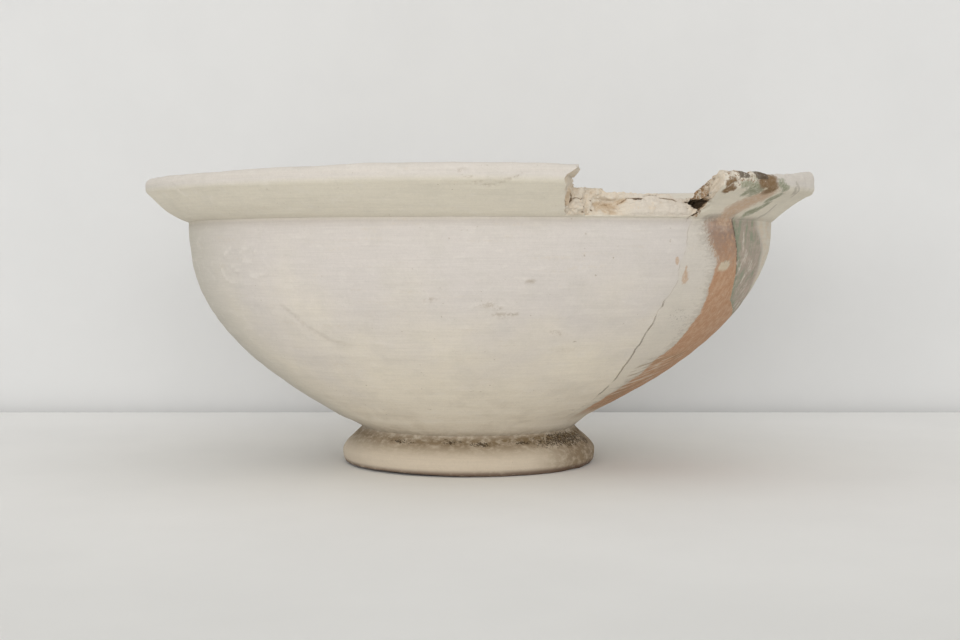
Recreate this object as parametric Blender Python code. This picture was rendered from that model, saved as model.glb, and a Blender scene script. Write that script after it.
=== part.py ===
"""A footed bowl of plaster and earthenware with a stretch of its flared rim broken away.

One solid: a turned section with an eccentric foot, from which the damage is cut. The damage is the
lost stretch of rim with its rough face, the void at that stretch's right end, the open joint that
runs down the belly, the chips on the lip and the worn front of the foot ring.

Metres, +Z up. The origin is under the centre of the rim, on the surface the foot stands on.
Azimuth is measured round the bowl from -Y, the side that is looked at, towards +X.
"""

import math

import bmesh
import bpy
from mathutils import Matrix, Vector, noise
from mathutils.geometry import interpolate_bezier

# Rim and lip
RIM_RADIUS = 0.1308
BOWL_HEIGHT = 0.1113
LIP_ROUND = 0.0024
LIP_FACE = 0.0015
LIP_INNER_TURN = math.radians(108)

# Crease, where the flared rim leaves the belly
CREASE_RADIUS = 0.1148
CREASE_HEIGHT = 0.0950
WALL = 0.0080

# Floor of the inside
FLOOR_HEIGHT = 0.0185

# Neck and foot ring
NECK_RADIUS = 0.0425
NECK_HEIGHT = 0.0144
FOOT_RADIUS = 0.0505
FOOT_BEAD_HEIGHT = 0.0048
FOOT_REST_OUTER = 0.0485
FOOT_REST_INNER = 0.0395
RECESS_RADIUS = 0.0365
RECESS_DEPTH = 0.0060
RECESS_CORNER = 0.0021

# How full the curves of the foot are, as shares of the run that each handle lies along
REST_HANDLE = 0.70
BEAD_HANDLE_BELOW = 0.60
BEAD_HANDLE_ABOVE = 0.36
NECK_HANDLE_OUT = 0.12
NECK_HANDLE_DOWN = 0.22

# Handles of the belly's curve, as shares of its reach outwards and upwards
BELLY_LOW_HANDLE = (0.111, 0.092)
BELLY_HIGH_HANDLE = (-0.021, 0.598)

# The same for the inside: the dished flare, and the turn from the belly into the floor
FLARE_LIP_HANDLE = 0.56
FLARE_CREASE_HANDLE = 0.55
FLOOR_EDGE_HANDLE = 0.70
FLOOR_FLAT_HANDLE = 0.60

# How far the thrown axis strays along X: at the waist of the belly and at the foot
WAIST_HEIGHT = 0.0200
WAIST_STRAY = -0.0063
FOOT_STRAY = -0.0045
TRUE_ABOVE = 0.0840

# How the lip departs from level: a wave four times round, and a swelling at the sherd's far end
RIM_WAVE = 0.0005
RIM_WAVE_TURN = math.radians(-5)
SWELL_LIFT = 0.0029
SWELL_AZIMUTH = math.radians(84)
SWELL_HALF_SPAN = math.radians(30)

# How far the flare's underside sags, on the low side and on the side across from it
SAG_LOW_SIDE = 0.0015
SAG_HIGH_SIDE = -0.0008

# The lost stretch of rim. Both ends lean further round with depth, by so much for each wall's thickness.
# The first also rakes back from the crease up to the lip, whose top stands out beyond it as a spur
BREAK_START = math.radians(12.2)
BREAK_START_LEAN = math.radians(1.6)
BREAK_START_RAKE = math.radians(2.0)
BREAK_START_SPUR = math.radians(1.6)
BREAK_END = math.radians(39.5)
BREAK_END_LEAN = math.radians(1.85)
BREAK_FOOT_ABOVE_CREASE = 0.0004
BREAK_TOP_SHARE = 0.59
BREAK_STAND = 0.0003
BREAK_ROUGHNESS = 0.043
BREAK_END_ROUGHNESS = 0.018
BREAK_GRAIN = 0.0042
BREAK_CLEAR = 0.0070

# Forms of the broken face: its raised ledge, its stained hollow, its slab and the steps of its top.
# Its heights and its roughness are shares of the rise from the crease to the lip
LEDGE_END = math.radians(16.3)
LEDGE_SHARE = 0.166
HOLLOW_START = math.radians(18.5)
HOLLOW_END = math.radians(24.5)
HOLLOW_DEPTH = 0.0015
SLAB_PROUD = 0.0006
HOLLOW_RISE = (0.2, 0.45)
SLAB_RISE = (0.0, 0.2)
SLAB_FALL = (0.6, 0.75)
TOP_STEPS = [(math.radians(20.0), 0.080), (math.radians(35.0), 0.049)]
STEP_SPAN = math.radians(1.6)

# The void where the lost stretch meets the old sherd: its place in height and its half height are shares
# of the rise from the crease to the lip, and it leaves a skin of plaster on both sides of the wall
VOID_AZIMUTH = math.radians(40.1)
VOID_SHARE = 0.313
VOID_HALF_WIDTH = 0.0029
VOID_HALF_SHARE = 0.129
VOID_SKIN = 0.0017
VOID_LUMPS = 0.15
VOID_LUMP_TURNS = 1.7

# The open joint: (azimuth in degrees, height as a share of the crease's height)
JOINT_LINE = [
    (37.8, 0.713),
    (37.6, 0.638),
    (38.1, 0.579),
    (39.5, 0.495),
    (41.8, 0.403),
    (43.9, 0.356),
    (44.9, 0.327),
]
JOINT_WIDTH = 0.0006
JOINT_DEPTH = 0.0026
JOINT_STATIONS = 16

# The crack from the void over the crease: (azimuth in degrees, height above the crease)
SHORT_CRACK_LINE = [(39.3, 0.0042), (38.7, 0.0016), (38.1, -0.0004), (37.5, -0.0016)]
SHORT_CRACK_WIDTH = 0.0007
SHORT_CRACK_DEPTH = 0.0022

# A crack's section: how far it narrows at its ends, and its stand and flare outside the surface
CRACK_END_SHARE = 0.12
CRACK_STAND = 0.3
CRACK_FLARE = 1.3

# Chips on the lip: (azimuth and turn round the lip in degrees, radius of the bite, how deep it bites)
LIP_CHIPS = [
    (40.9, -48, 0.0038, 0.0008),
    (43.4, 80, 0.0042, 0.0008),
    (48.8, 85, 0.0030, 0.0006),
    (56.5, 80, 0.0050, 0.0007),
    (-27.0, 60, 0.0040, 0.0006),
]
CHIP_LUMPS = 0.15

# The worn front of the foot ring
WEAR_AZIMUTH = math.radians(-50)
WEAR_REACH = 0.0210
WEAR_LIFT = 0.0009

ROUGHNESS_SEED = 7

# How finely the curves are drawn
AROUND = 72
BELLY_STEPS = 13
LIP_STEPS = 3
FLARE_STEPS = 3
INNER_FLARE_STEPS = 7
INNER_BELLY_STEPS = 9
FLOOR_STEPS = 5
FOOT_STEPS = 4
BREAK_COLUMNS = 36
APPROACH_STEPS = 4
BREAK_RISE_STEPS = 6
BREAK_LAYERS = 6

PLASTER_COLOUR = (0.66, 0.62, 0.54, 1.0)
PLASTER_ROUGHNESS = 0.85


def between(low, high, share):
    return low + (high - low) * share


def smooth_step(low, high, value):
    share = min(max((value - low) / (high - low), 0.0), 1.0)
    return share * share * (3 - 2 * share)


def curve(start, start_handle, end_handle, end, steps):
    """Points of a Bezier curve in the section plane, as (radius, height), without its first one."""
    knots = [Vector((p[0], p[1], 0)) for p in (start, start_handle, end_handle, end)]
    return [(p.x, p.y) for p in interpolate_bezier(*knots, steps + 1)[1:]]


def foot_side():
    """The ring's rounded outer side, from the rest up to the neck."""
    rest = (FOOT_REST_OUTER, 0)
    bead = (FOOT_RADIUS, FOOT_BEAD_HEIGHT)
    neck = (NECK_RADIUS, NECK_HEIGHT)
    rise = NECK_HEIGHT - FOOT_BEAD_HEIGHT
    inset = FOOT_RADIUS - NECK_RADIUS
    low_side = curve(
        rest,
        (between(FOOT_REST_OUTER, FOOT_RADIUS, REST_HANDLE), 0),
        (FOOT_RADIUS, FOOT_BEAD_HEIGHT * (1 - BEAD_HANDLE_BELOW)),
        bead,
        FOOT_STEPS,
    )
    high_side = curve(
        bead,
        (FOOT_RADIUS, FOOT_BEAD_HEIGHT + rise * BEAD_HANDLE_ABOVE),
        (NECK_RADIUS + inset * NECK_HANDLE_OUT, NECK_HEIGHT - rise * NECK_HANDLE_DOWN),
        neck,
        FOOT_STEPS,
    )
    return [rest] + low_side + high_side


def belly_knots():
    reach = CREASE_RADIUS - NECK_RADIUS
    rise = CREASE_HEIGHT - NECK_HEIGHT
    low = (NECK_RADIUS + reach * BELLY_LOW_HANDLE[0], NECK_HEIGHT + rise * BELLY_LOW_HANDLE[1])
    high = (CREASE_RADIUS - reach * BELLY_HIGH_HANDLE[0], CREASE_HEIGHT - rise * BELLY_HIGH_HANDLE[1])
    return (NECK_RADIUS, NECK_HEIGHT), low, high, (CREASE_RADIUS, CREASE_HEIGHT)


def lip_centre():
    """The middle of the lip's upper round; the lower round's is straight below it."""
    return RIM_RADIUS - LIP_ROUND, BOWL_HEIGHT - LIP_ROUND


def on_lip(turn):
    """A point of the lip: a turn below level is on its lower round and one above on its upper round."""
    centre = lip_centre()
    drop = LIP_FACE if turn <= 0 else 0
    return centre[0] + LIP_ROUND * math.cos(turn), centre[1] - drop + LIP_ROUND * math.sin(turn)


def flare_direction():
    """The angle of the rim's underside, a line from the crease that just touches the lower round."""
    across = lip_centre()[0] - CREASE_RADIUS
    up = lip_centre()[1] - LIP_FACE - CREASE_HEIGHT
    return math.atan2(up, across) - math.asin(LIP_ROUND / math.hypot(across, up))


def rim_underside_and_lip():
    first_turn = flare_direction() - math.pi / 2
    touch = on_lip(first_turn)
    shares = [step / FLARE_STEPS for step in range(1, FLARE_STEPS)]
    flare = [(between(CREASE_RADIUS, touch[0], t), between(CREASE_HEIGHT, touch[1], t)) for t in shares]
    low_turns = [between(first_turn, 0, step / LIP_STEPS) for step in range(LIP_STEPS + 1)]
    high_turns = [between(0.001, LIP_INNER_TURN, step / LIP_STEPS) for step in range(LIP_STEPS + 1)]
    return flare + [on_lip(turn) for turn in low_turns + high_turns]


def inner_belly():
    """The inner side of the belly from top to bottom: its outer curve, moved in by the wall."""
    knots = [Vector((p[0], p[1], 0)) for p in belly_knots()]
    fine = interpolate_bezier(*knots, INNER_BELLY_STEPS * 4 + 1)
    moved = []
    for before, after in zip(fine[:-1], fine[1:]):
        along = (after - before).normalized()
        middle = (before + after) / 2
        moved.append((middle.x - along.y * WALL, middle.y + along.x * WALL))
    low_end = FLOOR_HEIGHT + WALL / 2
    kept = [p for p in moved[2::4] if p[1] > low_end]
    return kept[::-1]


def inside(lip_end):
    """The inner side of the bowl, from the lip to the middle of the floor."""
    belly = inner_belly()
    top = belly[0]
    lip_tangent = (-math.sin(LIP_INNER_TURN), math.cos(LIP_INNER_TURN))
    reach = (RIM_RADIUS - CREASE_RADIUS) * FLARE_LIP_HANDLE
    flare = curve(
        lip_end,
        (lip_end[0] + lip_tangent[0] * reach, lip_end[1] + lip_tangent[1] * reach),
        (top[0], between(top[1], BOWL_HEIGHT, FLARE_CREASE_HANDLE)),
        top,
        INNER_FLARE_STEPS,
    )
    slope = (belly[-2][1] - belly[-1][1]) / (belly[-2][0] - belly[-1][0])
    last = belly[-1]
    meet = last[0] - (last[1] - FLOOR_HEIGHT) / slope
    floor = curve(
        last,
        (between(last[0], meet, FLOOR_EDGE_HANDLE), between(last[1], FLOOR_HEIGHT, FLOOR_EDGE_HANDLE)),
        (meet * FLOOR_FLAT_HANDLE, FLOOR_HEIGHT),
        (0, FLOOR_HEIGHT),
        FLOOR_STEPS,
    )
    return flare + belly[1:] + floor


def underside():
    """The hollow under the foot, from its middle out to the inner edge of the rest."""
    return [
        (0, RECESS_DEPTH),
        (RECESS_RADIUS - RECESS_CORNER, RECESS_DEPTH),
        (RECESS_RADIUS, RECESS_DEPTH - RECESS_CORNER),
        (FOOT_REST_INNER, 0),
    ]


def section():
    """The whole turned section, from the middle of the floor round the rim to the middle below."""
    outer = foot_side() + curve(*belly_knots(), BELLY_STEPS) + rim_underside_and_lip()
    return underside() + outer + inside(outer[-1])


def stray(height):
    """How far the axis is off centre at a height, which comes from throwing the foot by eye."""
    if height < WAIST_HEIGHT:
        share = smooth_step(NECK_HEIGHT, WAIST_HEIGHT, height)
        return between(FOOT_STRAY, WAIST_STRAY, share)
    return WAIST_STRAY * max(1 - (height - WAIST_HEIGHT) / (TRUE_ABOVE - WAIST_HEIGHT), 0)


def lip_lift(azimuth, height):
    """How far the wave and the swelling raise a point of the rim."""
    wave = RIM_WAVE * math.cos(4 * (azimuth - RIM_WAVE_TURN))
    wave *= smooth_step(CREASE_HEIGHT, BOWL_HEIGHT, height)
    aside = abs(azimuth - SWELL_AZIMUTH) / SWELL_HALF_SPAN
    lip_foot = BOWL_HEIGHT - LIP_ROUND - LIP_FACE
    swell = SWELL_LIFT * (1 - smooth_step(0, 1, aside)) * smooth_step(lip_foot, BOWL_HEIGHT, height)
    return wave + swell


def flare_sag(azimuth, radius, height):
    """How far the flare's underside hangs below a straight line between crease and lip."""
    touch = on_lip(flare_direction() - math.pi / 2)
    along = (height - CREASE_HEIGHT) / (touch[1] - CREASE_HEIGHT)
    line_radius = between(CREASE_RADIUS, touch[0], along)
    if not 0 < along < 1 or radius < line_radius - WALL / 2:
        return 0
    sag = between(SAG_LOW_SIDE, SAG_HIGH_SIDE, (1 + math.sin(azimuth)) / 2)
    return sag * math.sin(math.pi * along)


def place(azimuth, radius, height):
    """A point of the bowl from its place on the turned shape."""
    across = stray(height) + radius * math.sin(azimuth)
    rise = lip_lift(azimuth, height) - flare_sag(azimuth, radius, height)
    return Vector((across, -radius * math.cos(azimuth), height + rise))


def turned_bowl():
    shape = bmesh.new()
    verts = [shape.verts.new((radius, 0, height)) for radius, height in section()]
    edges = [shape.edges.new(pair) for pair in zip(verts[:-1], verts[1:])]
    bmesh.ops.spin(
        shape,
        geom=verts + edges,
        cent=(0, 0, 0),
        axis=(0, 0, 1),
        angle=2 * math.pi,
        steps=AROUND,
        use_merge=True,
    )
    bmesh.ops.remove_doubles(shape, verts=shape.verts, dist=1e-6)
    bmesh.ops.recalc_face_normals(shape, faces=shape.faces)
    for vert in shape.verts:
        radius = math.hypot(vert.co.x, vert.co.y)
        azimuth = math.atan2(vert.co.x, -vert.co.y)
        vert.co = place(azimuth, radius, vert.co.z)
    return add_object("bowl", shape)


def add_object(name, shape):
    mesh = bpy.data.meshes.new(name)
    shape.to_mesh(mesh)
    shape.free()
    thing = bpy.data.objects.new(name, mesh)
    bpy.context.scene.collection.objects.link(thing)
    return thing


def cutter(name, shape):
    bmesh.ops.recalc_face_normals(shape, faces=shape.faces)
    thing = add_object(name, shape)
    thing.hide_render = True
    thing.display_type = "WIRE"
    return thing


def cut(body, tool):
    step = body.modifiers.new(tool.name, "BOOLEAN")
    step.operation = "DIFFERENCE"
    step.solver = "EXACT"
    step.object = tool


def outer_radius(height):
    """The radius of the bowl's outer side at a height above the neck."""
    line = curve(*belly_knots(), 40) + rim_underside_and_lip()
    for low, high in zip(line[:-1], line[1:]):
        if low[1] <= height <= high[1]:
            share = (height - low[1]) / max(high[1] - low[1], 1e-9)
            return between(low[0], high[0], share)
    return line[-1][0]


def inner_radius(height):
    """The radius of the bowl's inner side at a height above the floor."""
    line = inside(rim_underside_and_lip()[-1])
    for high, low in zip(line[:-1], line[1:]):
        if low[1] <= height <= high[1]:
            share = (height - low[1]) / max(high[1] - low[1], 1e-9)
            return between(low[0], high[0], share)
    return line[0][0]


def grid_block(columns, rows, layers, position):
    """A closed block of small faces: position(column, row, layer) gives each point on its surface."""
    shape = bmesh.new()
    made = {}

    def vert(*index):
        if index not in made:
            made[index] = shape.verts.new(position(*index))
        return made[index]

    for i in range(columns):
        for j in range(rows):
            for k in (0, layers):
                shape.faces.new([vert(i, j, k), vert(i + 1, j, k), vert(i + 1, j + 1, k), vert(i, j + 1, k)])
    for i in range(columns):
        for k in range(layers):
            for j in (0, rows):
                shape.faces.new([vert(i, j, k), vert(i + 1, j, k), vert(i + 1, j, k + 1), vert(i, j, k + 1)])
    for j in range(rows):
        for k in range(layers):
            for i in (0, columns):
                shape.faces.new([vert(i, j, k), vert(i, j + 1, k), vert(i, j + 1, k + 1), vert(i, j, k + 1)])
    return shape


def break_line(foot_radius, foot, top):
    """The broken face's line from outside the rim to inside the bowl, as (radius, height)."""
    outside = RIM_RADIUS + BREAK_CLEAR
    inner = CREASE_RADIUS - WALL - BREAK_CLEAR
    top_radius = CREASE_RADIUS - BREAK_STAND * 2
    approach = [(between(outside, foot_radius, j / APPROACH_STEPS), foot) for j in range(APPROACH_STEPS)]
    shares = [j / BREAK_RISE_STEPS for j in range(BREAK_RISE_STEPS + 1)]
    face = [(between(foot_radius, top_radius, share), between(foot, top, share)) for share in shares]
    return approach + face + [(between(top_radius, inner, 0.5), top), (inner, top)]


def break_relief(azimuth, rise):
    """How far the broken face lies inside its line: the stained hollow and the plaster slab beside it."""
    hollow = smooth_step(HOLLOW_START - STEP_SPAN, HOLLOW_START + STEP_SPAN, azimuth)
    slab = smooth_step(HOLLOW_END - STEP_SPAN, HOLLOW_END + STEP_SPAN, azimuth)
    hollow *= (1 - slab) * smooth_step(*HOLLOW_RISE, rise)
    slab *= smooth_step(*SLAB_RISE, rise) * (1 - smooth_step(*SLAB_FALL, rise))
    return HOLLOW_DEPTH * hollow - SLAB_PROUD * slab


def break_azimuth(share, radius, height):
    """The azimuth at a share of the way along the lost stretch, between its two slanting ends."""
    lip_height = BOWL_HEIGHT - LIP_ROUND
    upward = min(max((height - CREASE_HEIGHT) / (lip_height - CREASE_HEIGHT), 0), 1)
    depth = (between(CREASE_RADIUS, RIM_RADIUS, upward) - radius) / WALL
    start = BREAK_START + BREAK_START_LEAN * depth + BREAK_START_RAKE * (1 - upward)
    start += BREAK_START_SPUR * smooth_step(lip_height - LIP_FACE, lip_height + LIP_ROUND / 2, height)
    end = BREAK_END + BREAK_END_LEAN * depth
    return between(start, end, share)


def lost_rim():
    """The stretch of rim that broke away, with a rough face where it left the belly."""
    low_foot = CREASE_HEIGHT + BREAK_FOOT_ABOVE_CREASE
    low_radius = outer_radius(low_foot) + BREAK_STAND
    rim_rise = BOWL_HEIGHT - CREASE_HEIGHT
    ledge_rise = rim_rise * LEDGE_SHARE
    ledge_radius = outer_radius(low_foot + ledge_rise) + BREAK_STAND
    ceiling = BOWL_HEIGHT + BREAK_CLEAR
    outside = RIM_RADIUS + BREAK_CLEAR
    first_face_row = APPROACH_STEPS
    last_face_row = APPROACH_STEPS + BREAK_RISE_STEPS
    rows = last_face_row + 2

    def position(i, j, k):
        share = i / BREAK_COLUMNS
        middle = break_azimuth(share, CREASE_RADIUS, low_foot)
        ledge = 1 - smooth_step(LEDGE_END - STEP_SPAN / 2, LEDGE_END, middle)
        top_share = BREAK_TOP_SHARE
        top_share -= sum(drop * smooth_step(at, at + STEP_SPAN, middle) for at, drop in TOP_STEPS)
        foot_radius = between(low_radius, ledge_radius, ledge)
        top = CREASE_HEIGHT + rim_rise * top_share
        floor = break_line(foot_radius, low_foot + ledge_rise * ledge, top)[j]
        overhead = between(outside, CREASE_RADIUS, j / last_face_row) if j < last_face_row else floor[0]
        radius = between(floor[0], overhead, k / BREAK_LAYERS)
        height = between(floor[1], ceiling, k / BREAK_LAYERS)
        azimuth = break_azimuth(share, radius, height)
        seed = Vector((azimuth * CREASE_RADIUS, radius, height)) / BREAK_GRAIN
        at_end = i in (0, BREAK_COLUMNS)
        shake = noise.noise_vector(seed) * rim_rise * (BREAK_END_ROUGHNESS if at_end else BREAK_ROUGHNESS)
        if k == 0 and first_face_row <= j <= last_face_row:
            rise = (j - first_face_row) / BREAK_RISE_STEPS
            radius += shake.y - break_relief(azimuth, rise)
        if k == 0 and j <= last_face_row:
            height += shake.z
        if at_end:
            azimuth += shake.x / radius
        return place(azimuth, radius, height)

    return cutter("lost_rim", grid_block(BREAK_COLUMNS, rows, BREAK_LAYERS, position))


def joint_void():
    """The hole where the fill never reached the sherd."""
    shape = bmesh.new()
    bmesh.ops.create_icosphere(shape, subdivisions=2, radius=1.0)
    level = between(CREASE_HEIGHT, BOWL_HEIGHT, VOID_SHARE)
    inner, outer = inner_radius(level), outer_radius(level)
    half_height = (BOWL_HEIGHT - CREASE_HEIGHT) * VOID_HALF_SHARE
    half = Vector((VOID_HALF_WIDTH, (outer - inner) / 2 - VOID_SKIN, half_height))
    centre = place(VOID_AZIMUTH, (inner + outer) / 2, level)
    turn = Matrix.Rotation(VOID_AZIMUTH, 3, "Z")
    for vert in shape.verts:
        lumpy = vert.co * (1 + VOID_LUMPS * noise.noise(vert.co * VOID_LUMP_TURNS))
        vert.co = centre + turn @ (lumpy * half)
    return cutter("joint_void", shape)


def blade(name, line, width, depth):
    """A thin wedge along a line of (azimuth, height) on the outer side, narrowing to both ends."""
    shape = bmesh.new()
    count = len(line)
    rings = []
    for index, (azimuth, height) in enumerate(line):
        share = index / (count - 1)
        full = max(math.sin(math.pi * share), CRACK_END_SHARE)
        radius = outer_radius(height)
        outside = radius + depth * CRACK_STAND
        mouth = width * full / 2 / radius * CRACK_FLARE
        ring = [
            shape.verts.new(place(azimuth - mouth, outside, height)),
            shape.verts.new(place(azimuth + mouth, outside, height)),
            shape.verts.new(place(azimuth, radius - depth * full, height)),
        ]
        rings.append(ring)
    for before, after in zip(rings[:-1], rings[1:]):
        for side in range(3):
            pair = (side, (side + 1) % 3)
            shape.faces.new([before[pair[0]], before[pair[1]], after[pair[1]], after[pair[0]]])
    shape.faces.new(rings[0])
    shape.faces.new(rings[-1])
    return cutter(name, shape)


def resampled(line, stations):
    """A broken line of (azimuth in degrees, height) read at even steps, in radians and metres."""
    points = []
    for step in range(stations):
        along = step / (stations - 1) * (len(line) - 1)
        low = min(int(along), len(line) - 2)
        share = along - low
        azimuth = math.radians(between(line[low][0], line[low + 1][0], share))
        points.append((azimuth, between(line[low][1], line[low + 1][1], share)))
    return points


def open_joint():
    line = [(azimuth, share * CREASE_HEIGHT) for azimuth, share in JOINT_LINE]
    return blade("open_joint", resampled(line, JOINT_STATIONS), JOINT_WIDTH, JOINT_DEPTH)


def short_crack():
    line = [(azimuth, CREASE_HEIGHT + above) for azimuth, above in SHORT_CRACK_LINE]
    return blade("short_crack", resampled(line, len(line) * 2), SHORT_CRACK_WIDTH, SHORT_CRACK_DEPTH)


def lip_chip(index, azimuth, turn, bite, depth):
    """A shell-shaped flake lost from the lip, at a turn round the lip's section."""
    shape = bmesh.new()
    bmesh.ops.create_icosphere(shape, subdivisions=2, radius=bite)
    touch = on_lip(turn)
    aside = bite - depth
    middle = place(azimuth, touch[0] + aside * math.cos(turn), touch[1] + aside * math.sin(turn))
    for vert in shape.verts:
        lump = noise.noise_vector(vert.co / bite + Vector((index, 0, 0)))
        vert.co += middle + lump * bite * CHIP_LUMPS
    return cutter(f"lip_chip_{index}", shape)


def foot_wear():
    """A slab that dresses the front of the ring at a slight slope, from a chord across the foot."""
    shape = bmesh.new()
    bmesh.ops.create_cube(shape, size=1.0)
    reach = FOOT_RADIUS - WEAR_REACH
    slope = math.atan2(WEAR_LIFT, reach)
    length = FOOT_RADIUS * 2
    thick = WEAR_LIFT * 4
    turn = Matrix.Rotation(WEAR_AZIMUTH, 4, "Z")
    tilt = Matrix.Rotation(-slope, 4, "X")
    shift = Matrix.Translation((0, -length / 2, -thick / 2))
    chord = Matrix.Translation((0, -WEAR_REACH, 0))
    size = Matrix.Diagonal((length * 2, length, thick, 1))
    centre = Matrix.Translation((FOOT_STRAY, 0, 0))
    bmesh.ops.transform(shape, matrix=centre @ turn @ chord @ tilt @ shift @ size, verts=shape.verts)
    return cutter("foot_wear", shape)


def plaster():
    material = bpy.data.materials.new("plaster")
    material.use_nodes = True
    shader = material.node_tree.nodes["Principled BSDF"]
    shader.inputs["Base Color"].default_value = PLASTER_COLOUR
    shader.inputs["Roughness"].default_value = PLASTER_ROUGHNESS
    shader.inputs["Metallic"].default_value = 0.0
    return material


def main():
    for thing in list(bpy.data.objects):
        bpy.data.objects.remove(thing)
    noise.seed_set(ROUGHNESS_SEED)
    bowl = turned_bowl()
    cut(bowl, lost_rim())
    cut(bowl, joint_void())
    cut(bowl, open_joint())
    cut(bowl, short_crack())
    for index, (azimuth, turn, bite, depth) in enumerate(LIP_CHIPS):
        cut(bowl, lip_chip(index, math.radians(azimuth), math.radians(turn), bite, depth))
    cut(bowl, foot_wear())
    bowl.data.materials.append(plaster())
    bowl.data.shade_smooth()
    bowl.data.set_sharp_from_angle(angle=math.radians(35))


main()
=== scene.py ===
"""A cracked footed bowl of plaster and earthenware: one detailed skin over the CAD frame.

Lengths are in millimetres up to the making of the mesh. Azimuth is in degrees round the bowl from -Y, the
side that is looked at, towards +X, as in the part.
"""

import math
from itertools import product

import bpy
import numpy as np
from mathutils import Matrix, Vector


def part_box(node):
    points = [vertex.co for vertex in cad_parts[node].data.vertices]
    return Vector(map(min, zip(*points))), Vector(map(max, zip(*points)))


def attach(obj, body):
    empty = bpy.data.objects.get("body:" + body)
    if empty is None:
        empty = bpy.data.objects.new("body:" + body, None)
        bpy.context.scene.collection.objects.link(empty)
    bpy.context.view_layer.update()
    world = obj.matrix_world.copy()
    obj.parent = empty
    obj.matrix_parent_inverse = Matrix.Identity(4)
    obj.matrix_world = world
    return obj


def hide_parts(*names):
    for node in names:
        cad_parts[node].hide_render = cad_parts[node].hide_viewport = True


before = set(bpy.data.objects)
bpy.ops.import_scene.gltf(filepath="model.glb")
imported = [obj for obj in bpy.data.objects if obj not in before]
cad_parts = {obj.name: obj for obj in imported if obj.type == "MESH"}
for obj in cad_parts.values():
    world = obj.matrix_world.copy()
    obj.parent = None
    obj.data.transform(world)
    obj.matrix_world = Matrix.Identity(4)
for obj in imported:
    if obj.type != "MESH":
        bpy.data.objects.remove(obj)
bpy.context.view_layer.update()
MM = 1000.0
low_corner, high_corner = (np.array(corner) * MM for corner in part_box("bowl"))

# The turned section, the same as the part's
RIM_RADIUS = (high_corner[0] - low_corner[0]) / 2
BOWL_HEIGHT = 111.3
LIP_ROUND = 2.4
LIP_FACE = 1.5
LIP_INNER_TURN = math.radians(108)
CREASE_RADIUS = 114.8
CREASE_HEIGHT = 95.0
WALL = 8.0
FLOOR_HEIGHT = 18.5
NECK = (42.5, 14.4)
FOOT_RADIUS = 50.5
FOOT_BEAD_HEIGHT = 4.8
FOOT_REST_OUTER = 48.5
FOOT_REST_INNER = 39.5
RECESS_RADIUS = 36.5
RECESS_DEPTH = 6.0
RECESS_CORNER = 2.1
BELLY_LOW_HANDLE = (0.111, 0.092)
BELLY_HIGH_HANDLE = (-0.021, 0.598)
WAIST_HEIGHT = 20.0
WAIST_STRAY = -6.3
FOOT_STRAY = -4.5
TRUE_ABOVE = 84.0
RIM_WAVE = 0.5
RIM_WAVE_TURN = -5.0
SWELL_LIFT = 2.9
SWELL_AZIMUTH = 84.0
SWELL_HALF_SPAN = 30.0
SAG_LOW_SIDE = 1.5
SAG_HIGH_SIDE = -0.8
WEAR_AZIMUTH = -50.0
WEAR_REACH = 21.0
WEAR_LIFT = 0.9

# The lost stretch of rim, the same as the part's
BREAK_START = 12.2
BREAK_START_LEAN = 1.6
BREAK_START_RAKE = 2.0
BREAK_START_SPUR = 1.6
BREAK_END = 39.5
BREAK_END_LEAN = 1.2
BREAK_END_SPUR = -1.3
BREAK_FOOT_ABOVE_CREASE = 0.4
BREAK_TOP_BELOW_LIP = 6.7
BREAK_STAND = 0.3
LEDGE_END = 16.3
LEDGE_RISE = 2.7
HOLLOW = (18.5, 24.5)
HOLLOW_DEPTH = 1.9
SLAB_PROUD = 1.0
SLAB_TOP = (0.62, 0.70)
TOP_STEPS = [(20.0, 1.3), (33.2, 1.5)]
STEP_SPAN = 1.6
VOID = (39.7, 99.7)
VOID_HALF = (2.4, 2.2, 4.8)

# The joint between the fill and the sherd, as (azimuth, height) from the crease down, and its open part
CRACK_LINE = [
    (39.4, 95.0), (38.2, 90.4), (37.7, 84.2), (37.7, 80.2), (38.4, 72.6), (37.8, 67.7), (37.6, 60.6),
    (38.1, 55.0), (38.9, 50.8), (39.5, 47.0), (40.5, 42.7), (41.8, 38.3), (43.1, 35.2), (44.4, 32.4),
    (46.2, 27.6),
]
CRACK_OPEN = (37.0, 69.0)
CRACK_DASH = (31.0, 34.6)
CRACK_DEPTH = 2.4

# The painted sherd's bands: left and right edge of the orange, right edge of the green
ORANGE_LEFT = [
    (42.5, 91.8), (43.5, 87.8), (45.2, 83.6), (47.4, 80.1), (48.0, 74.5), (48.9, 70.1), (49.6, 66.5),
    (50.7, 62.1), (51.3, 58.5), (51.6, 54.6), (52.2, 51.0), (52.2, 47.1), (50.2, 44.3), (51.0, 40.9),
    (51.5, 37.5), (51.0, 32.7), (51.0, 28.3), (51.5, 22.0),
]
ORANGE_RIGHT = [
    (50.8, 96.0), (51.1, 93.1), (52.5, 87.8), (53.9, 82.5), (55.8, 77.1), (57.7, 71.6), (61.0, 66.0),
    (66.4, 63.0), (80.0, 57.0), (84.0, 50.0), (86.0, 40.0), (88.0, 28.0),
]
GREEN_RIGHT = [
    (61.0, 96.0), (61.8, 92.3), (66.2, 86.2), (68.6, 79.9), (71.8, 73.0), (76.0, 66.0), (86.0, 57.0),
    (92.0, 40.0),
]

BREAK_SPREAD = (4.0, 20.0)
CRACK_SPREAD = (26.0, 60.0)
WALL_HALF = 0.25
WALL_COLUMNS = 12

# Columns of the skin: (from azimuth, pitch), each until the next one starts
COLUMN_PLAN = [(-180, 4.0), (-96, 1.1), (-60, 0.5), (-36, 1.1), (BREAK_SPREAD[0], 0.45)]
BREAK_PITCH = 0.24
AFTER_BREAK = [(BREAK_END + WALL_HALF, 0.42), (75, 0.9), (96, 4.0)]


def between(low, high, share):
    return low + (high - low) * share


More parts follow.
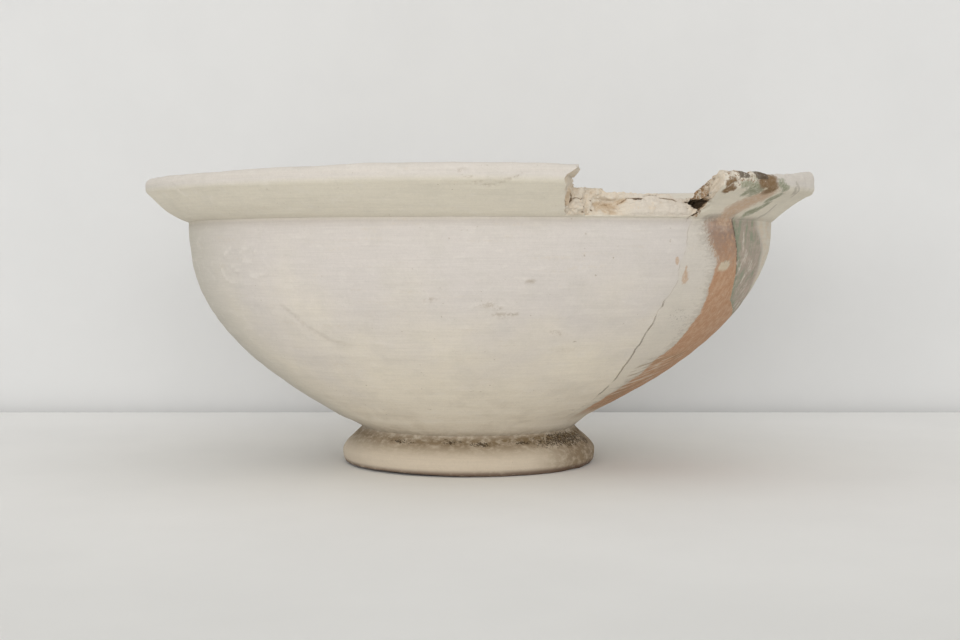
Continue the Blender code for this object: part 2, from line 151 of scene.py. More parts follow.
def smooth(low, high, value):
    share = np.clip((value - low) / (high - low), 0.0, 1.0)
    return share * share * (3 - 2 * share)


def bezier(start, start_handle, end_handle, end, count=60):
    t = np.linspace(0, 1, count)[:, None]
    knots = [np.array(point, float) for point in (start, start_handle, end_handle, end)]
    weights = [(1 - t) ** 3, 3 * (1 - t) ** 2 * t, 3 * (1 - t) * t ** 2, t ** 3]
    return sum(weight * knot for weight, knot in zip(weights, knots))


def resample(line, count):
    """Points at even steps along a line of (radius, height), both ends included."""
    line = np.array(line, float)
    run = np.concatenate([[0], np.cumsum(np.hypot(*np.diff(line, axis=0).T))])
    at = np.linspace(0, run[-1], count)
    return np.stack([np.interp(at, run, line[:, 0]), np.interp(at, run, line[:, 1])], axis=1)


def length(line):
    return np.hypot(*np.diff(np.array(line, float), axis=0).T).sum()


def grid_noise(points, seed):
    """Smooth noise, about -1 to 1, at points given in cells."""
    source = np.random.default_rng(seed)
    table = source.permutation(256)
    slopes = source.normal(size=(256, 3))
    slopes /= np.linalg.norm(slopes, axis=1)[:, None]
    cell = np.floor(points).astype(int)
    part = points - cell
    fade = part ** 3 * (part * (part * 6 - 15) + 10)
    total = 0
    for corner in product((0, 1), repeat=3):
        corner = np.array(corner)
        index = (cell + corner) & 255
        pick = table[(table[(table[index[..., 0]] + index[..., 1]) & 255] + index[..., 2]) & 255]
        pull = ((part - corner) * slopes[pick]).sum(-1)
        total = total + pull * np.prod(np.where(corner, fade, 1 - fade), axis=-1)
    return total * 1.6


def rough(points, size, seed, octaves=3):
    """Noise of a size in mm and finer, each octave half as high."""
    total = 0
    for octave in range(octaves):
        total = total + grid_noise(points / size * 2 ** octave, seed + octave) / 2 ** octave
    return total


def belly_curve():
    reach = CREASE_RADIUS - NECK[0]
    rise = CREASE_HEIGHT - NECK[1]
    low = (NECK[0] + reach * BELLY_LOW_HANDLE[0], NECK[1] + rise * BELLY_LOW_HANDLE[1])
    high = (CREASE_RADIUS - reach * BELLY_HIGH_HANDLE[0], CREASE_HEIGHT - rise * BELLY_HIGH_HANDLE[1])
    return bezier(NECK, low, high, (CREASE_RADIUS, CREASE_HEIGHT), 240)


def foot_curve():
    rise = NECK[1] - FOOT_BEAD_HEIGHT
    inset = FOOT_RADIUS - NECK[0]
    bead = (FOOT_RADIUS, FOOT_BEAD_HEIGHT)
    low = bezier(
        (FOOT_REST_OUTER, 0),
        (between(FOOT_REST_OUTER, FOOT_RADIUS, 0.7), 0),
        (FOOT_RADIUS, FOOT_BEAD_HEIGHT * 0.4),
        bead,
    )
    high = bezier(
        bead,
        (FOOT_RADIUS, FOOT_BEAD_HEIGHT + rise * 0.36),
        (NECK[0] + inset * 0.12, NECK[1] - rise * 0.22),
        NECK,
    )
    return np.concatenate([low, high[1:]])


LIP_CENTRE = (RIM_RADIUS - LIP_ROUND, BOWL_HEIGHT - LIP_ROUND)


def lip_points(turns, drop):
    x = LIP_CENTRE[0] + LIP_ROUND * np.cos(turns)
    return np.stack([x, LIP_CENTRE[1] - drop + LIP_ROUND * np.sin(turns)], axis=1)


def flare_turn():
    across = LIP_CENTRE[0] - CREASE_RADIUS
    up = LIP_CENTRE[1] - LIP_FACE - CREASE_HEIGHT
    return math.atan2(up, across) - math.asin(LIP_ROUND / math.hypot(across, up)) - math.pi / 2


def lip_curve():
    low = lip_points(np.linspace(flare_turn(), 0, 12), LIP_FACE)
    return np.concatenate([low, lip_points(np.linspace(0, LIP_INNER_TURN, 16), 0)])


def inner_curves():
    """The inner flare, the inner belly and the floor, from the lip to the middle."""
    outer = belly_curve()
    along = np.diff(outer, axis=0)
    along /= np.hypot(*along.T)[:, None]
    moved = (outer[:-1] + outer[1:]) / 2 + np.stack([-along[:, 1], along[:, 0]], axis=1) * WALL
    belly = moved[moved[:, 1] > FLOOR_HEIGHT + WALL / 2][::-1]
    belly = belly[9:]
    lip_end = lip_curve()[-1]
    reach = (RIM_RADIUS - CREASE_RADIUS) * 0.56
    out = lip_end + np.array([-math.sin(LIP_INNER_TURN), math.cos(LIP_INNER_TURN)]) * reach
    flare = bezier(lip_end, out, (belly[0][0], between(belly[0][1], BOWL_HEIGHT, 0.55)), belly[0])
    last = belly[-1]
    slope = (belly[-2] - last)[1] / (belly[-2] - last)[0]
    meet = last[0] - (last[1] - FLOOR_HEIGHT) / slope
    handle = (between(last[0], meet, 0.7), between(last[1], FLOOR_HEIGHT, 0.7))
    floor = bezier(last, handle, (meet * 0.6, FLOOR_HEIGHT), (0, FLOOR_HEIGHT))
    return flare, belly, floor


# Rows of the skin, from under the foot up the outside, over the lip and down to the floor
under = [(0, RECESS_DEPTH), (RECESS_RADIUS - RECESS_CORNER, RECESS_DEPTH)]
under += [(RECESS_RADIUS, RECESS_DEPTH - RECESS_CORNER), (FOOT_REST_INNER, 0)]
inner_flare, inner_belly, floor_curve = inner_curves()
PARTS = [
    ("under", under, 4.0),
    ("rest", [(FOOT_REST_INNER, 0), (FOOT_REST_OUTER, 0)], 3.0),
    ("foot", foot_curve(), 0.85),
    ("belly", belly_curve(), 1.12),
    ("flare", [(CREASE_RADIUS, CREASE_HEIGHT), tuple(lip_curve()[0])], 0.75),
    ("lip", lip_curve(), 0.55),
    ("inner_flare", inner_flare, 1.0),
    ("inner_belly", inner_belly, 4.2),
    ("floor", floor_curve, 6.0),
]
rows = []
row_of = {}
for name, line, pitch in PARTS:
    points = resample(line, max(int(length(line) / pitch), 2) + 1)
    row_of[name] = len(rows)
    rows += [tuple(point) for point in points[1:]]
rows = np.array(rows[:-1])
ROWS = len(rows)
CREASE_ROW = row_of["flare"] - 1
FIRST_BROKEN = row_of["flare"]
inner_rows = np.arange(ROWS) >= row_of["inner_flare"]
LOWEST_TOP = BOWL_HEIGHT - BREAK_TOP_BELOW_LIP - sum(drop for _, drop in TOP_STEPS)
LAST_BROKEN = int(np.argmax(inner_rows & (rows[:, 1] < LOWEST_TOP - 0.5)))


def column_plan():
    """The nominal azimuth of every column and how far the rim is broken away there, 0 to 1."""
    angles = []
    ends = [start for start, _ in COLUMN_PLAN[1:]] + [BREAK_START - WALL_HALF]
    for (start, pitch), end in zip(COLUMN_PLAN, ends):
        angles += list(np.linspace(start, end, max(round((end - start) / pitch), 1), endpoint=False))
    angles += list(np.linspace(BREAK_START - WALL_HALF, BREAK_START + WALL_HALF, WALL_COLUMNS))
    first = len(angles)
    inside = (BREAK_START + WALL_HALF, BREAK_END - WALL_HALF)
    count = round((inside[1] - inside[0]) / BREAK_PITCH)
    angles += list(np.linspace(*inside, count + 1)[1:-1])
    last = len(angles)
    angles += list(np.linspace(BREAK_END - WALL_HALF, BREAK_END + WALL_HALF, WALL_COLUMNS))
    starts = [(start if i else start + 0.42, pitch) for i, (start, pitch) in enumerate(AFTER_BREAK)]
    for (start, pitch), end in zip(starts, [start for start, _ in AFTER_BREAK[1:]] + [180]):
        angles += list(np.linspace(start, end, max(round((end - start) / pitch), 1), endpoint=False))
    broken = np.zeros(len(angles))
    broken[first:last] = 1
    broken[first - WALL_COLUMNS:first] = np.linspace(0, 1, WALL_COLUMNS)
    broken[last:last + WALL_COLUMNS] = np.linspace(1, 0, WALL_COLUMNS)
    return np.array(angles), broken, last


angles, broken_share, crack_column = column_plan()
COLUMNS = len(angles)


def inner_radius(height):
    order = inner_flare[::-1]
    return np.interp(height, order[:, 1], order[:, 0])


def broken_section(azimuth):
    """Rows FIRST_BROKEN to LAST_BROKEN where the rim is lost, and how far each is bare of its skin."""
    seeds = [[azimuth * 1.4, 0.3, 0.7], [azimuth * 1.7, 5.1, 0.2], [azimuth * 4.1, 2.2, 8.4]]
    jitter = grid_noise(np.array(seeds), 3)
    ledge = 1 - smooth(LEDGE_END - STEP_SPAN / 2, LEDGE_END, azimuth)
    foot = CREASE_HEIGHT + BREAK_FOOT_ABOVE_CREASE + LEDGE_RISE * ledge + 0.25 * jitter[0]
    top = BOWL_HEIGHT - BREAK_TOP_BELOW_LIP + 0.30 * jitter[1] + 0.08 * jitter[2]
    top -= sum(drop * smooth(at, at + STEP_SPAN, azimuth) for at, drop in TOP_STEPS)
    start = rows[FIRST_BROKEN]
    touch = lip_curve()[0]
    foot = max(foot, start[1] + 0.05)
    foot_radius = between(CREASE_RADIUS, touch[0], (foot - CREASE_HEIGHT) / (touch[1] - CREASE_HEIGHT))
    outer = np.array([start, (foot_radius, foot)])
    rise = np.linspace(0, 1, 14)
    slab = smooth(HOLLOW[1] - STEP_SPAN, HOLLOW[1] + STEP_SPAN, azimuth)
    hollow = smooth(HOLLOW[0] - STEP_SPAN, HOLLOW[0] + STEP_SPAN, azimuth) * (1 - slab)
    relief = HOLLOW_DEPTH * hollow * smooth(0.1, 0.4, rise) * (1 - smooth(0.62, 0.76, rise))
    slab_top = 0.09 * math.sin(azimuth * 0.9 + 0.6) + 0.03 * jitter[1]
    relief -= SLAB_PROUD * slab * smooth(0, 0.2, rise) * (1 - smooth(*SLAB_TOP, rise - slab_top))
    face_radius = between(foot_radius, CREASE_RADIUS - 2 * BREAK_STAND, rise) - relief
    face = np.stack([face_radius, between(foot, top, rise)], axis=1)
    face[0] = outer[-1]
    across = np.array([(between(CREASE_RADIUS, inner_radius(top), 0.5), top), (inner_radius(top), top)])
    down = rows[LAST_BROKEN][None]
    line = np.concatenate([outer, face[1:], across, down])
    run_outer = length(outer)
    run_inner = length(line) - length(line[-2:])
    count = LAST_BROKEN - FIRST_BROKEN + 1
    run = np.linspace(0, length(line), count)
    bare_from = between(run_outer, 0.5, ledge)
    bare = np.clip(np.minimum(run - bare_from, run_inner - run) / 0.35, 0, 1)
    return resample(line, count), bare


radius = np.tile(rows[:, 0], (COLUMNS, 1))
height = np.tile(rows[:, 1], (COLUMNS, 1))
bare = np.zeros((COLUMNS, ROWS))
span = slice(FIRST_BROKEN, LAST_BROKEN + 1)
for column in np.nonzero(broken_share)[0]:
    section, open_rows = broken_section(angles[column])
    share = broken_share[column]
    radius[column, span] = between(rows[span, 0], section[:, 0], share)
    height[column, span] = between(rows[span, 1], section[:, 1], share)
    bare[column, span] = np.where(share < 1, np.minimum(open_rows + (1 - share), 1), open_rows)
bare[:, FIRST_BROKEN] = 0
bare[:, LAST_BROKEN] = 0

# How far the columns lean: with the ends of the break above the crease, and along the joint below it
lip_height = BOWL_HEIGHT - LIP_ROUND
upward = np.clip((height - CREASE_HEIGHT) / (lip_height - CREASE_HEIGHT), 0, 1)
depth = np.clip((between(CREASE_RADIUS, RIM_RADIUS, upward) - radius) / WALL, -0.3, 1.8)
row_index = np.arange(ROWS)
near_break = smooth(FIRST_BROKEN - 14, FIRST_BROKEN, row_index)
near_break *= 1 - smooth(LAST_BROKEN, LAST_BROKEN + 9, row_index)
spur = smooth(lip_height - LIP_FACE, lip_height + LIP_ROUND / 2, height)
cells = np.stack([radius / 2.2, height / 2.2, np.zeros_like(radius)], axis=-1)
start_lean = BREAK_START_LEAN * depth + BREAK_START_RAKE * (1 - upward) + BREAK_START_SPUR * spur
start_lean += 0.3 * rough(cells, 1.0, 11, 2)
start_lean *= near_break
end_lean = BREAK_END_LEAN * depth + BREAK_END_SPUR * smooth(0.25, 0.95, upward)
end_lean += 0.35 * rough(cells, 0.8, 17, 3)
line = np.array(CRACK_LINE)[::-1]
crack_azimuth = np.interp(rows[:, 1], line[:, 1], line[:, 0])
steps_of_crack = np.stack([rows[:, 1] / 3.4, np.full(ROWS, 0.4), np.full(ROWS, 7.7)], axis=-1)
crack_azimuth += 0.45 * rough(steps_of_crack, 1.0, 19, 3)
outer_low = row_index <= CREASE_ROW
low_fade = smooth(NECK[1] + 1, line[0, 1], rows[:, 1])
crack_lean = (crack_azimuth - CRACK_LINE[0][0]) * low_fade
end_lean = np.where(outer_low, crack_lean, end_lean * near_break)
left_ramp = np.clip((angles - BREAK_SPREAD[0]) / (BREAK_START - WALL_HALF - BREAK_SPREAD[0]), 0, 1)
right_ramp = 1 - np.clip((angles - BREAK_START - WALL_HALF) / (BREAK_SPREAD[1] - BREAK_START), 0, 1)
start_weight = np.minimum(left_ramp, right_ramp)
left_ramp = np.clip((angles - CRACK_SPREAD[0]) / (BREAK_END - WALL_HALF - CRACK_SPREAD[0]), 0, 1)
right_ramp = 1 - np.clip((angles - BREAK_END - WALL_HALF) / (CRACK_SPREAD[1] - BREAK_END), 0, 1)
end_weight = np.minimum(left_ramp, right_ramp)
azimuth = angles[:, None] + start_weight[:, None] * start_lean + end_weight[:, None] * end_lean
outside = np.broadcast_to(~inner_rows, azimuth.shape)


def placed(azimuth, radius, height):
    """Points of the bowl from their places on the turned shape, in mm."""
    share = smooth(NECK[1], WAIST_HEIGHT, height)
    upper = WAIST_STRAY * np.maximum(1 - (height - WAIST_HEIGHT) / (TRUE_ABOVE - WAIST_HEIGHT), 0)
    across = np.where(height < WAIST_HEIGHT, between(FOOT_STRAY, WAIST_STRAY, share), upper)
    turn = np.radians(azimuth)
    wave = RIM_WAVE * np.cos(4 * np.radians(azimuth - RIM_WAVE_TURN))
    wave *= smooth(CREASE_HEIGHT, BOWL_HEIGHT, height)
    swell = SWELL_LIFT * (1 - smooth(0, 1, np.abs(azimuth - SWELL_AZIMUTH) / SWELL_HALF_SPAN))
    swell *= smooth(BOWL_HEIGHT - LIP_ROUND - LIP_FACE, BOWL_HEIGHT, height)
    touch = lip_curve()[0]
    along = np.clip((height - CREASE_HEIGHT) / (touch[1] - CREASE_HEIGHT), 0, 1)
    on_flare = radius > between(CREASE_RADIUS, touch[0], along) - WALL / 2
    sag = between(SAG_LOW_SIDE, SAG_HIGH_SIDE, (1 + np.sin(turn)) / 2) * np.sin(math.pi * along)
    up = height + wave + swell - np.where(on_flare, sag, 0)
    return np.stack([across + radius * np.sin(turn), -radius * np.cos(turn), up], axis=-1)


slant = np.where((height > CREASE_HEIGHT) & (height < BOWL_HEIGHT - LIP_ROUND), 1.64, 1.0)


def nearest_on(points):
    """Distance in mm from a line of (azimuth, height), and how far along it the nearest point is, 0 to 1."""
    nearest = np.full(azimuth.shape, 1e3)
    along = np.zeros(azimuth.shape)
    for index, (first, second) in enumerate(zip(points[:-1], points[1:])):
        ax = np.radians(first[0] - azimuth) * radius
        ay = (first[1] - height) * slant
        dx = np.radians(second[0] - first[0]) * radius
        dy = (second[1] - first[1]) * slant
        share = np.clip(-(ax * dx + ay * dy) / np.maximum(dx * dx + dy * dy, 1e-6), 0, 1)
        far = np.hypot(ax + share * dx, ay + share * dy)
        along = np.where(far < nearest, (index + share) / (len(points) - 1), along)
        nearest = np.minimum(nearest, far)
    return np.where(outside, nearest, 1e3), along


def stroke(points, half_width):
    """1 on a line and 0 at a half width from it, which tapers towards both ends."""
    far, along = nearest_on(points)
    width = half_width * np.sqrt(np.maximum(4 * along * (1 - along), 0.15))
    return np.clip(1 - far / width, 0, 1)


def strokes(lines, half_width):
    return np.max([stroke(points, half_width) for points in lines], axis=0)


def patches(places):
    """1 in the middle of each patch, 0 on its edge and below 0 past it: (half width, points)."""
    shares = [1 - nearest_on(points if len(points) > 1 else points * 2)[0] / half for half, points in places]
    return np.maximum(np.max(shares, axis=0), -1.0)


def spots(places):
    """Highest of 1 at each spot's middle, 0 on its edge: (azimuth, height, half across, half up, tilt)."""
    best = np.full(azimuth.shape, -1.0)
    for middle, level, across, up, tilt in places:
        x = np.radians(azimuth - middle) * radius
        y = height - level
        lean = math.radians(tilt)
        u = (x * math.cos(lean) + y * math.sin(lean)) / across
        v = (y * math.cos(lean) - x * math.sin(lean)) / up
        best = np.maximum(best, 1 - np.hypot(u, v))
    return np.where(outside, best, -1.0)


def beyond(edge):
    """Signed distance in mm to the right of a line of (azimuth, height) that runs from top to bottom."""
    edge = np.array(sorted(edge, key=lambda point: point[1]))
    at = np.interp(height, edge[:, 1], edge[:, 0])
    return np.where(outside, np.radians(azimuth - at) * radius, -100.0)


# Marks in the surface, as lines of (azimuth, height)
RIDGES = [
    [(-47.5, 83.6), (-46.4, 84.7), (-45.0, 85.1)], [(-43.3, 84.4), (-42.7, 82.9)],
    [(-55.6, 79.0), (-55.0, 77.2), (-54.8, 75.0), (-52.9, 73.3), (-50.9, 73.2)],
    [(-46.1, 75.5), (-43.8, 74.9), (-41.9, 76.3), (-39.7, 77.0)],
    [(-47.7, 81.5), (-46.3, 80.1), (-44.2, 80.6)],
    [(-53.4, 82.2), (-51.6, 84.2), (-49.9, 85.4)],
    [(-51.0, 78.4), (-49.4, 77.3), (-48.2, 78.0)],
]
SCAR = [(-38.8, 66.3), (-36.0, 62.2), (-33.4, 58.0), (-29.6, 53.9), (-25.6, 51.9)]
BELLY_MARKS = [
    [(0.6, 65.7), (2.7, 66.3), (4.8, 64.9)], [(3.0, 63.6), (5.4, 62.6), (8.4, 63.4)],
    [(15.2, 56.8), (16.6, 56.0), (18.0, 56.0)], [(8.4, 74.2), (9.8, 73.9)],
    [(-9.0, 67.9), (-7.0, 67.5)],
]
RIM_SCRATCH = [(-55.9, 107.9), (-53.4, 103.9)]
PATCH_EDGE = [
    (-3.2, 110.6), (-2.5, 108.1), (-0.7, 105.5), (1.4, 104.0), (3.2, 105.5), (4.9, 106.8), (5.9, 108.1)
]

# Dark cracks and steps in the broken face, three of them painted shade in gaps and along the top edge: (strength,
# points)
FACE_CRACKS_AND_SHADE = [
    # Painted shade in the gap at the left end of the break
    (1.0, [(14.6, 104.1), (14.5, 102.2), (14.6, 100.5), (13.9, 99.3)]),
    (0.6, [(14.7, 100.9), (16.1, 101.1), (17.5, 101.3)]),
    (0.4, [(18.7, 99.5), (20.7, 99.2), (22.9, 99.3)]),
    (0.5, [(23.5, 99.1), (24.7, 100.6), (25.5, 101.5), (26.5, 101.5)]),
    # A painted shadow in the gap above the slab's top
    (1.0, [(26.3, 101.4), (27.1, 101.3), (28.1, 101.6)]),
    (0.45, [(28.3, 102.2), (29.8, 102.8), (31.4, 102.6)]),
    (0.55, [(31.6, 101.9), (33.2, 101.6), (34.7, 101.5), (35.9, 100.8)]),
    (1.3, [(37.4, 100.8), (38.4, 100.4), (39.6, 99.9), (40.4, 99.6)]),
    (1.2, [(40.8, 99.0), (40.2, 97.9), (39.6, 97.2)]),
    (1.2, [(39.4, 96.9), (38.7, 95.8), (38.2, 94.8)]),
    # A painted shadow along the break's top edge at the right, where the far rim's inside is in shade
    (0.6, [(33.6, 103.3), (35.6, 103.1), (37.8, 102.7)]),
    (0.5, [(34.3, 95.2), (35.7, 94.5), (37.1, 94.4)]),
    (0.8, [(16.3, 98.4), (16.6, 98.3)]), (0.9, [(18.3, 97.4), (18.7, 97.2)]),
    (0.9, [(16.4, 96.6), (17.2, 96.5)]), (0.7, [(18.2, 100.4), (18.6, 100.3)]),
]
LIP_CHIPS = [(40.9, -48, 3.8, 0.8), (43.4, 80, 4.2, 0.8), (48.8, 85, 3.0, 0.6), (56.5, 80, 5.0, 0.7)]
LIP_CHIPS += [(-27.0, 60, 4.0, 0.6), (46.6, 60, 2.6, 0.5), (52.6, 75, 3.0, 0.6)]

position = placed(azimuth, radius, height)
down_rows = np.roll(position, -1, axis=0) - np.roll(position, 1, axis=0)
up_rows = np.gradient(position, axis=1)
normal = np.cross(down_rows, up_rows)
normal /= np.maximum(np.linalg.norm(normal, axis=-1, keepdims=True), 1e-9)

on_sherd = smooth(39.0, 42.0, azimuth) * (1 - smooth(78, 92, azimuth))
lip_rows = (row_index >= row_of["lip"] - 3) & (row_index < row_of["inner_flare"] + 3)
relief = 0.30 * rough(position, 42.0, 21, 3) + 0.10 * rough(position, 9.0, 25, 2)
relief += 0.12 * grid_noise(position * np.array([0.02, 0.02, 0.35]), 29)
worn_rim = patches([(5.0, [(38.0, 109.0), (42.0, 108.8), (46.0, 108.4)]), (3.0, [(40.0, 107.0), (41.0, 104.5)])])
worn_share = np.clip(worn_rim * 2, 0, 1)
relief += np.where(lip_rows, 0.35 * on_sherd * rough(position, 4.5, 31, 3), 0)
relief += 0.55 * worn_share * rough(position, 2.6, 33, 3)
relief += np.where(lip_rows, 0.10 * rough(position, 6.0, 35, 2), 0)
foot_rows = (row_index >= row_of["foot"]) & (row_index < row_of["belly"])
relief += np.where(foot_rows, 0.18 * rough(position, 10.0, 39, 3), 0)
relief += 0.55 * strokes(RIDGES, 1.1)
relief += 0.12 * strokes(BELLY_MARKS, 1.6)
relief -= 0.25 * np.clip(spots([(-47.0, 79.5, 11.0, 7.0, 0)]), 0, 1)
relief += 0.34 * stroke(SCAR, 1.2) - 0.34 * stroke([(a - 0.7, h - 0.9) for a, h in SCAR], 1.2)
relief -= 0.5 * stroke(RIM_SCRATCH, 0.9)
relief -= 0.35 * stroke(PATCH_EDGE, 0.9)
relief -= 0.8 * np.clip(spots([(-65.8, 49.0, 3.4, 2.2, -60)]), 0, 1)
relief += 0.9 * np.clip(patches([(2.6, [(46.3, 110.4), (48.5, 110.4)]), (2.0, [(42.0, 110.4), (43.8, 110.3)])]), 0, 1)
relief *= 1 - bare
crumble = 0.62 * rough(position, 3.6, 41, 3) + 0.42 * grid_noise(position / 1.15, 47)
smooth_slab = smooth(HOLLOW[1], HOLLOW[1] + 2, azimuth) * (1 - smooth(37.0, 38.5, azimuth))
smooth_slab = smooth_slab * (1 - smooth(102.6, 103.4, height))
end_share = smooth(38.9, 39.6, azimuth) * bare
left_lumps = (1 - smooth(18.6, 19.6, azimuth)) * bare
crumble = crumble * (1 - 0.5 * smooth_slab + 0.5 * end_share + 0.25 * left_lumps)
relief += bare * crumble
face_cracks_and_shade = np.max([weight * stroke(points, 0.75) for weight, points in FACE_CRACKS_AND_SHADE], axis=0)
relief -= 0.7 * face_cracks_and_shade
centre = placed(np.array(VOID[0]), np.array(CREASE_RADIUS), np.array(VOID[1]))
void_x = np.radians(azimuth - VOID[0]) * CREASE_RADIUS / VOID_HALF[0]
void_y = (height - VOID[1]) / VOID_HALF[1]
lumps = 1 + 0.3 * rough(position, 2.4, 53, 2)
void_reach = 1 - np.hypot(void_x, void_y) * lumps
in_reach = (bare > 0.3) & (radius > CREASE_RADIUS - VOID_HALF[2])
in_void = np.where(in_reach, np.clip(void_reach, 0, 1), 0)
position = position + normal * relief[..., None]
turned = np.radians(azimuth)
inward = np.stack([-np.sin(turned), np.cos(turned), np.zeros_like(turned)], axis=-1)
void_push = np.minimum(radius - CREASE_RADIUS + VOID_HALF[2], VOID_HALF[2] + 1)
position += inward * (np.sqrt(in_void) * void_push)[..., None]
open_share = smooth(CRACK_OPEN[0] - 2, CRACK_OPEN[0] + 3, rows[:, 1])
open_share *= 1 - smooth(CRACK_OPEN[1] - 4, CRACK_OPEN[1], rows[:, 1])
dash_share = smooth(CRACK_DASH[0] - 0.8, CRACK_DASH[0] + 0.8, rows[:, 1])
dash_share *= 1 - smooth(CRACK_DASH[1] - 0.8, CRACK_DASH[1] + 0.8, rows[:, 1])
opening_noise = rough(steps_of_crack * 1.3, 1.0, 67, 3)
open_share *= np.clip(between(0.35, 1.0, smooth(62, 50, rows[:, 1])) + 0.55 * opening_noise, 0.08, 1)
groove = np.where(outer_low, np.maximum(open_share, dash_share), 0)
position[crack_column] += inward[crack_column] * (CRACK_DEPTH * groove)[:, None]

for middle, turn, bite, deep in LIP_CHIPS:
    turn = math.radians(turn)
    drop = LIP_FACE if turn <= 0 else 0
    reach = LIP_ROUND + bite - deep
    at = (LIP_CENTRE[0] + reach * math.cos(turn), LIP_CENTRE[1] - drop + reach * math.sin(turn))
    ball = placed(np.array(float(middle)), np.array(at[0]), np.array(at[1]))
    away = position - ball
    far = np.linalg.norm(away, axis=-1, keepdims=True)
    bound = bite * (1 + 0.15 * grid_noise(position / 1.6, 61)[..., None])
    position = np.where(far < bound, ball + away / np.maximum(far, 1e-6) * bound, position)

# The worn front of the foot, and nothing outside the solid's box
wear_turn = math.radians(WEAR_AZIMUTH)
forward = (position[..., 0] - FOOT_STRAY) * math.sin(wear_turn) - position[..., 1] * math.cos(wear_turn)
worn = WEAR_LIFT * (forward - WEAR_REACH) / (FOOT_RADIUS - WEAR_REACH)
position[..., 2] = np.maximum(position[..., 2], np.clip(worn, 0, None))
position = np.clip(position, low_corner, high_corner)

# What the paint, the dirt and the painted shade go by, one number for each point
arc = np.radians(azimuth - 50) * radius
on_flare = smooth(CREASE_HEIGHT - 0.5, CREASE_HEIGHT + 0.5, height) * (1 - smooth(105.5, 108.5, height))
neck_dirt_and_shade = np.exp(-((height - 12.4) / 3.2) ** 2) * outside
in_front = 1 - smooth(105, 165, np.abs(azimuth))
neck_dirt_and_shade *= 0.85 + 0.15 * smooth(-60, 50, azimuth) * in_front
# The darker right end of the foot, low down, is dirt and painted shade
neck_dirt_and_shade = np.maximum(neck_dirt_and_shade, 0.85 * smooth(24, 58, azimuth) * smooth(19, 11, height) * in_front * outside)
soot = spots([(56, 11.4, 26, 3.6, 0), (50, 12.2, 10, 2.6, 0), (74, 9.8, 6, 2.4, 0)])
soot = np.maximum(soot, spots([(-8, 12.6, 8, 1.6, 0), (6, 11.8, 8, 1.5, 0), (-34, 11.8, 9, 1.4, 0), (28, 11.6, 9, 1.5, 0)]) - 0.2)
crack_side = np.radians(azimuth - crack_azimuth) * radius
hollow_stain_and_shade = patches([
    (2.6, [(19.9, 98.9), (22.4, 98.6)]), (1.7, [(21.0, 96.9), (22.4, 96.6)]), (1.5, [(23.6, 99.8), (24.6, 100.7)]),
    # Painted shade in the gap at the left end of the break
    (1.3, [(13.6, 103.6), (13.4, 101.4), (13.2, 99.2)]),
])
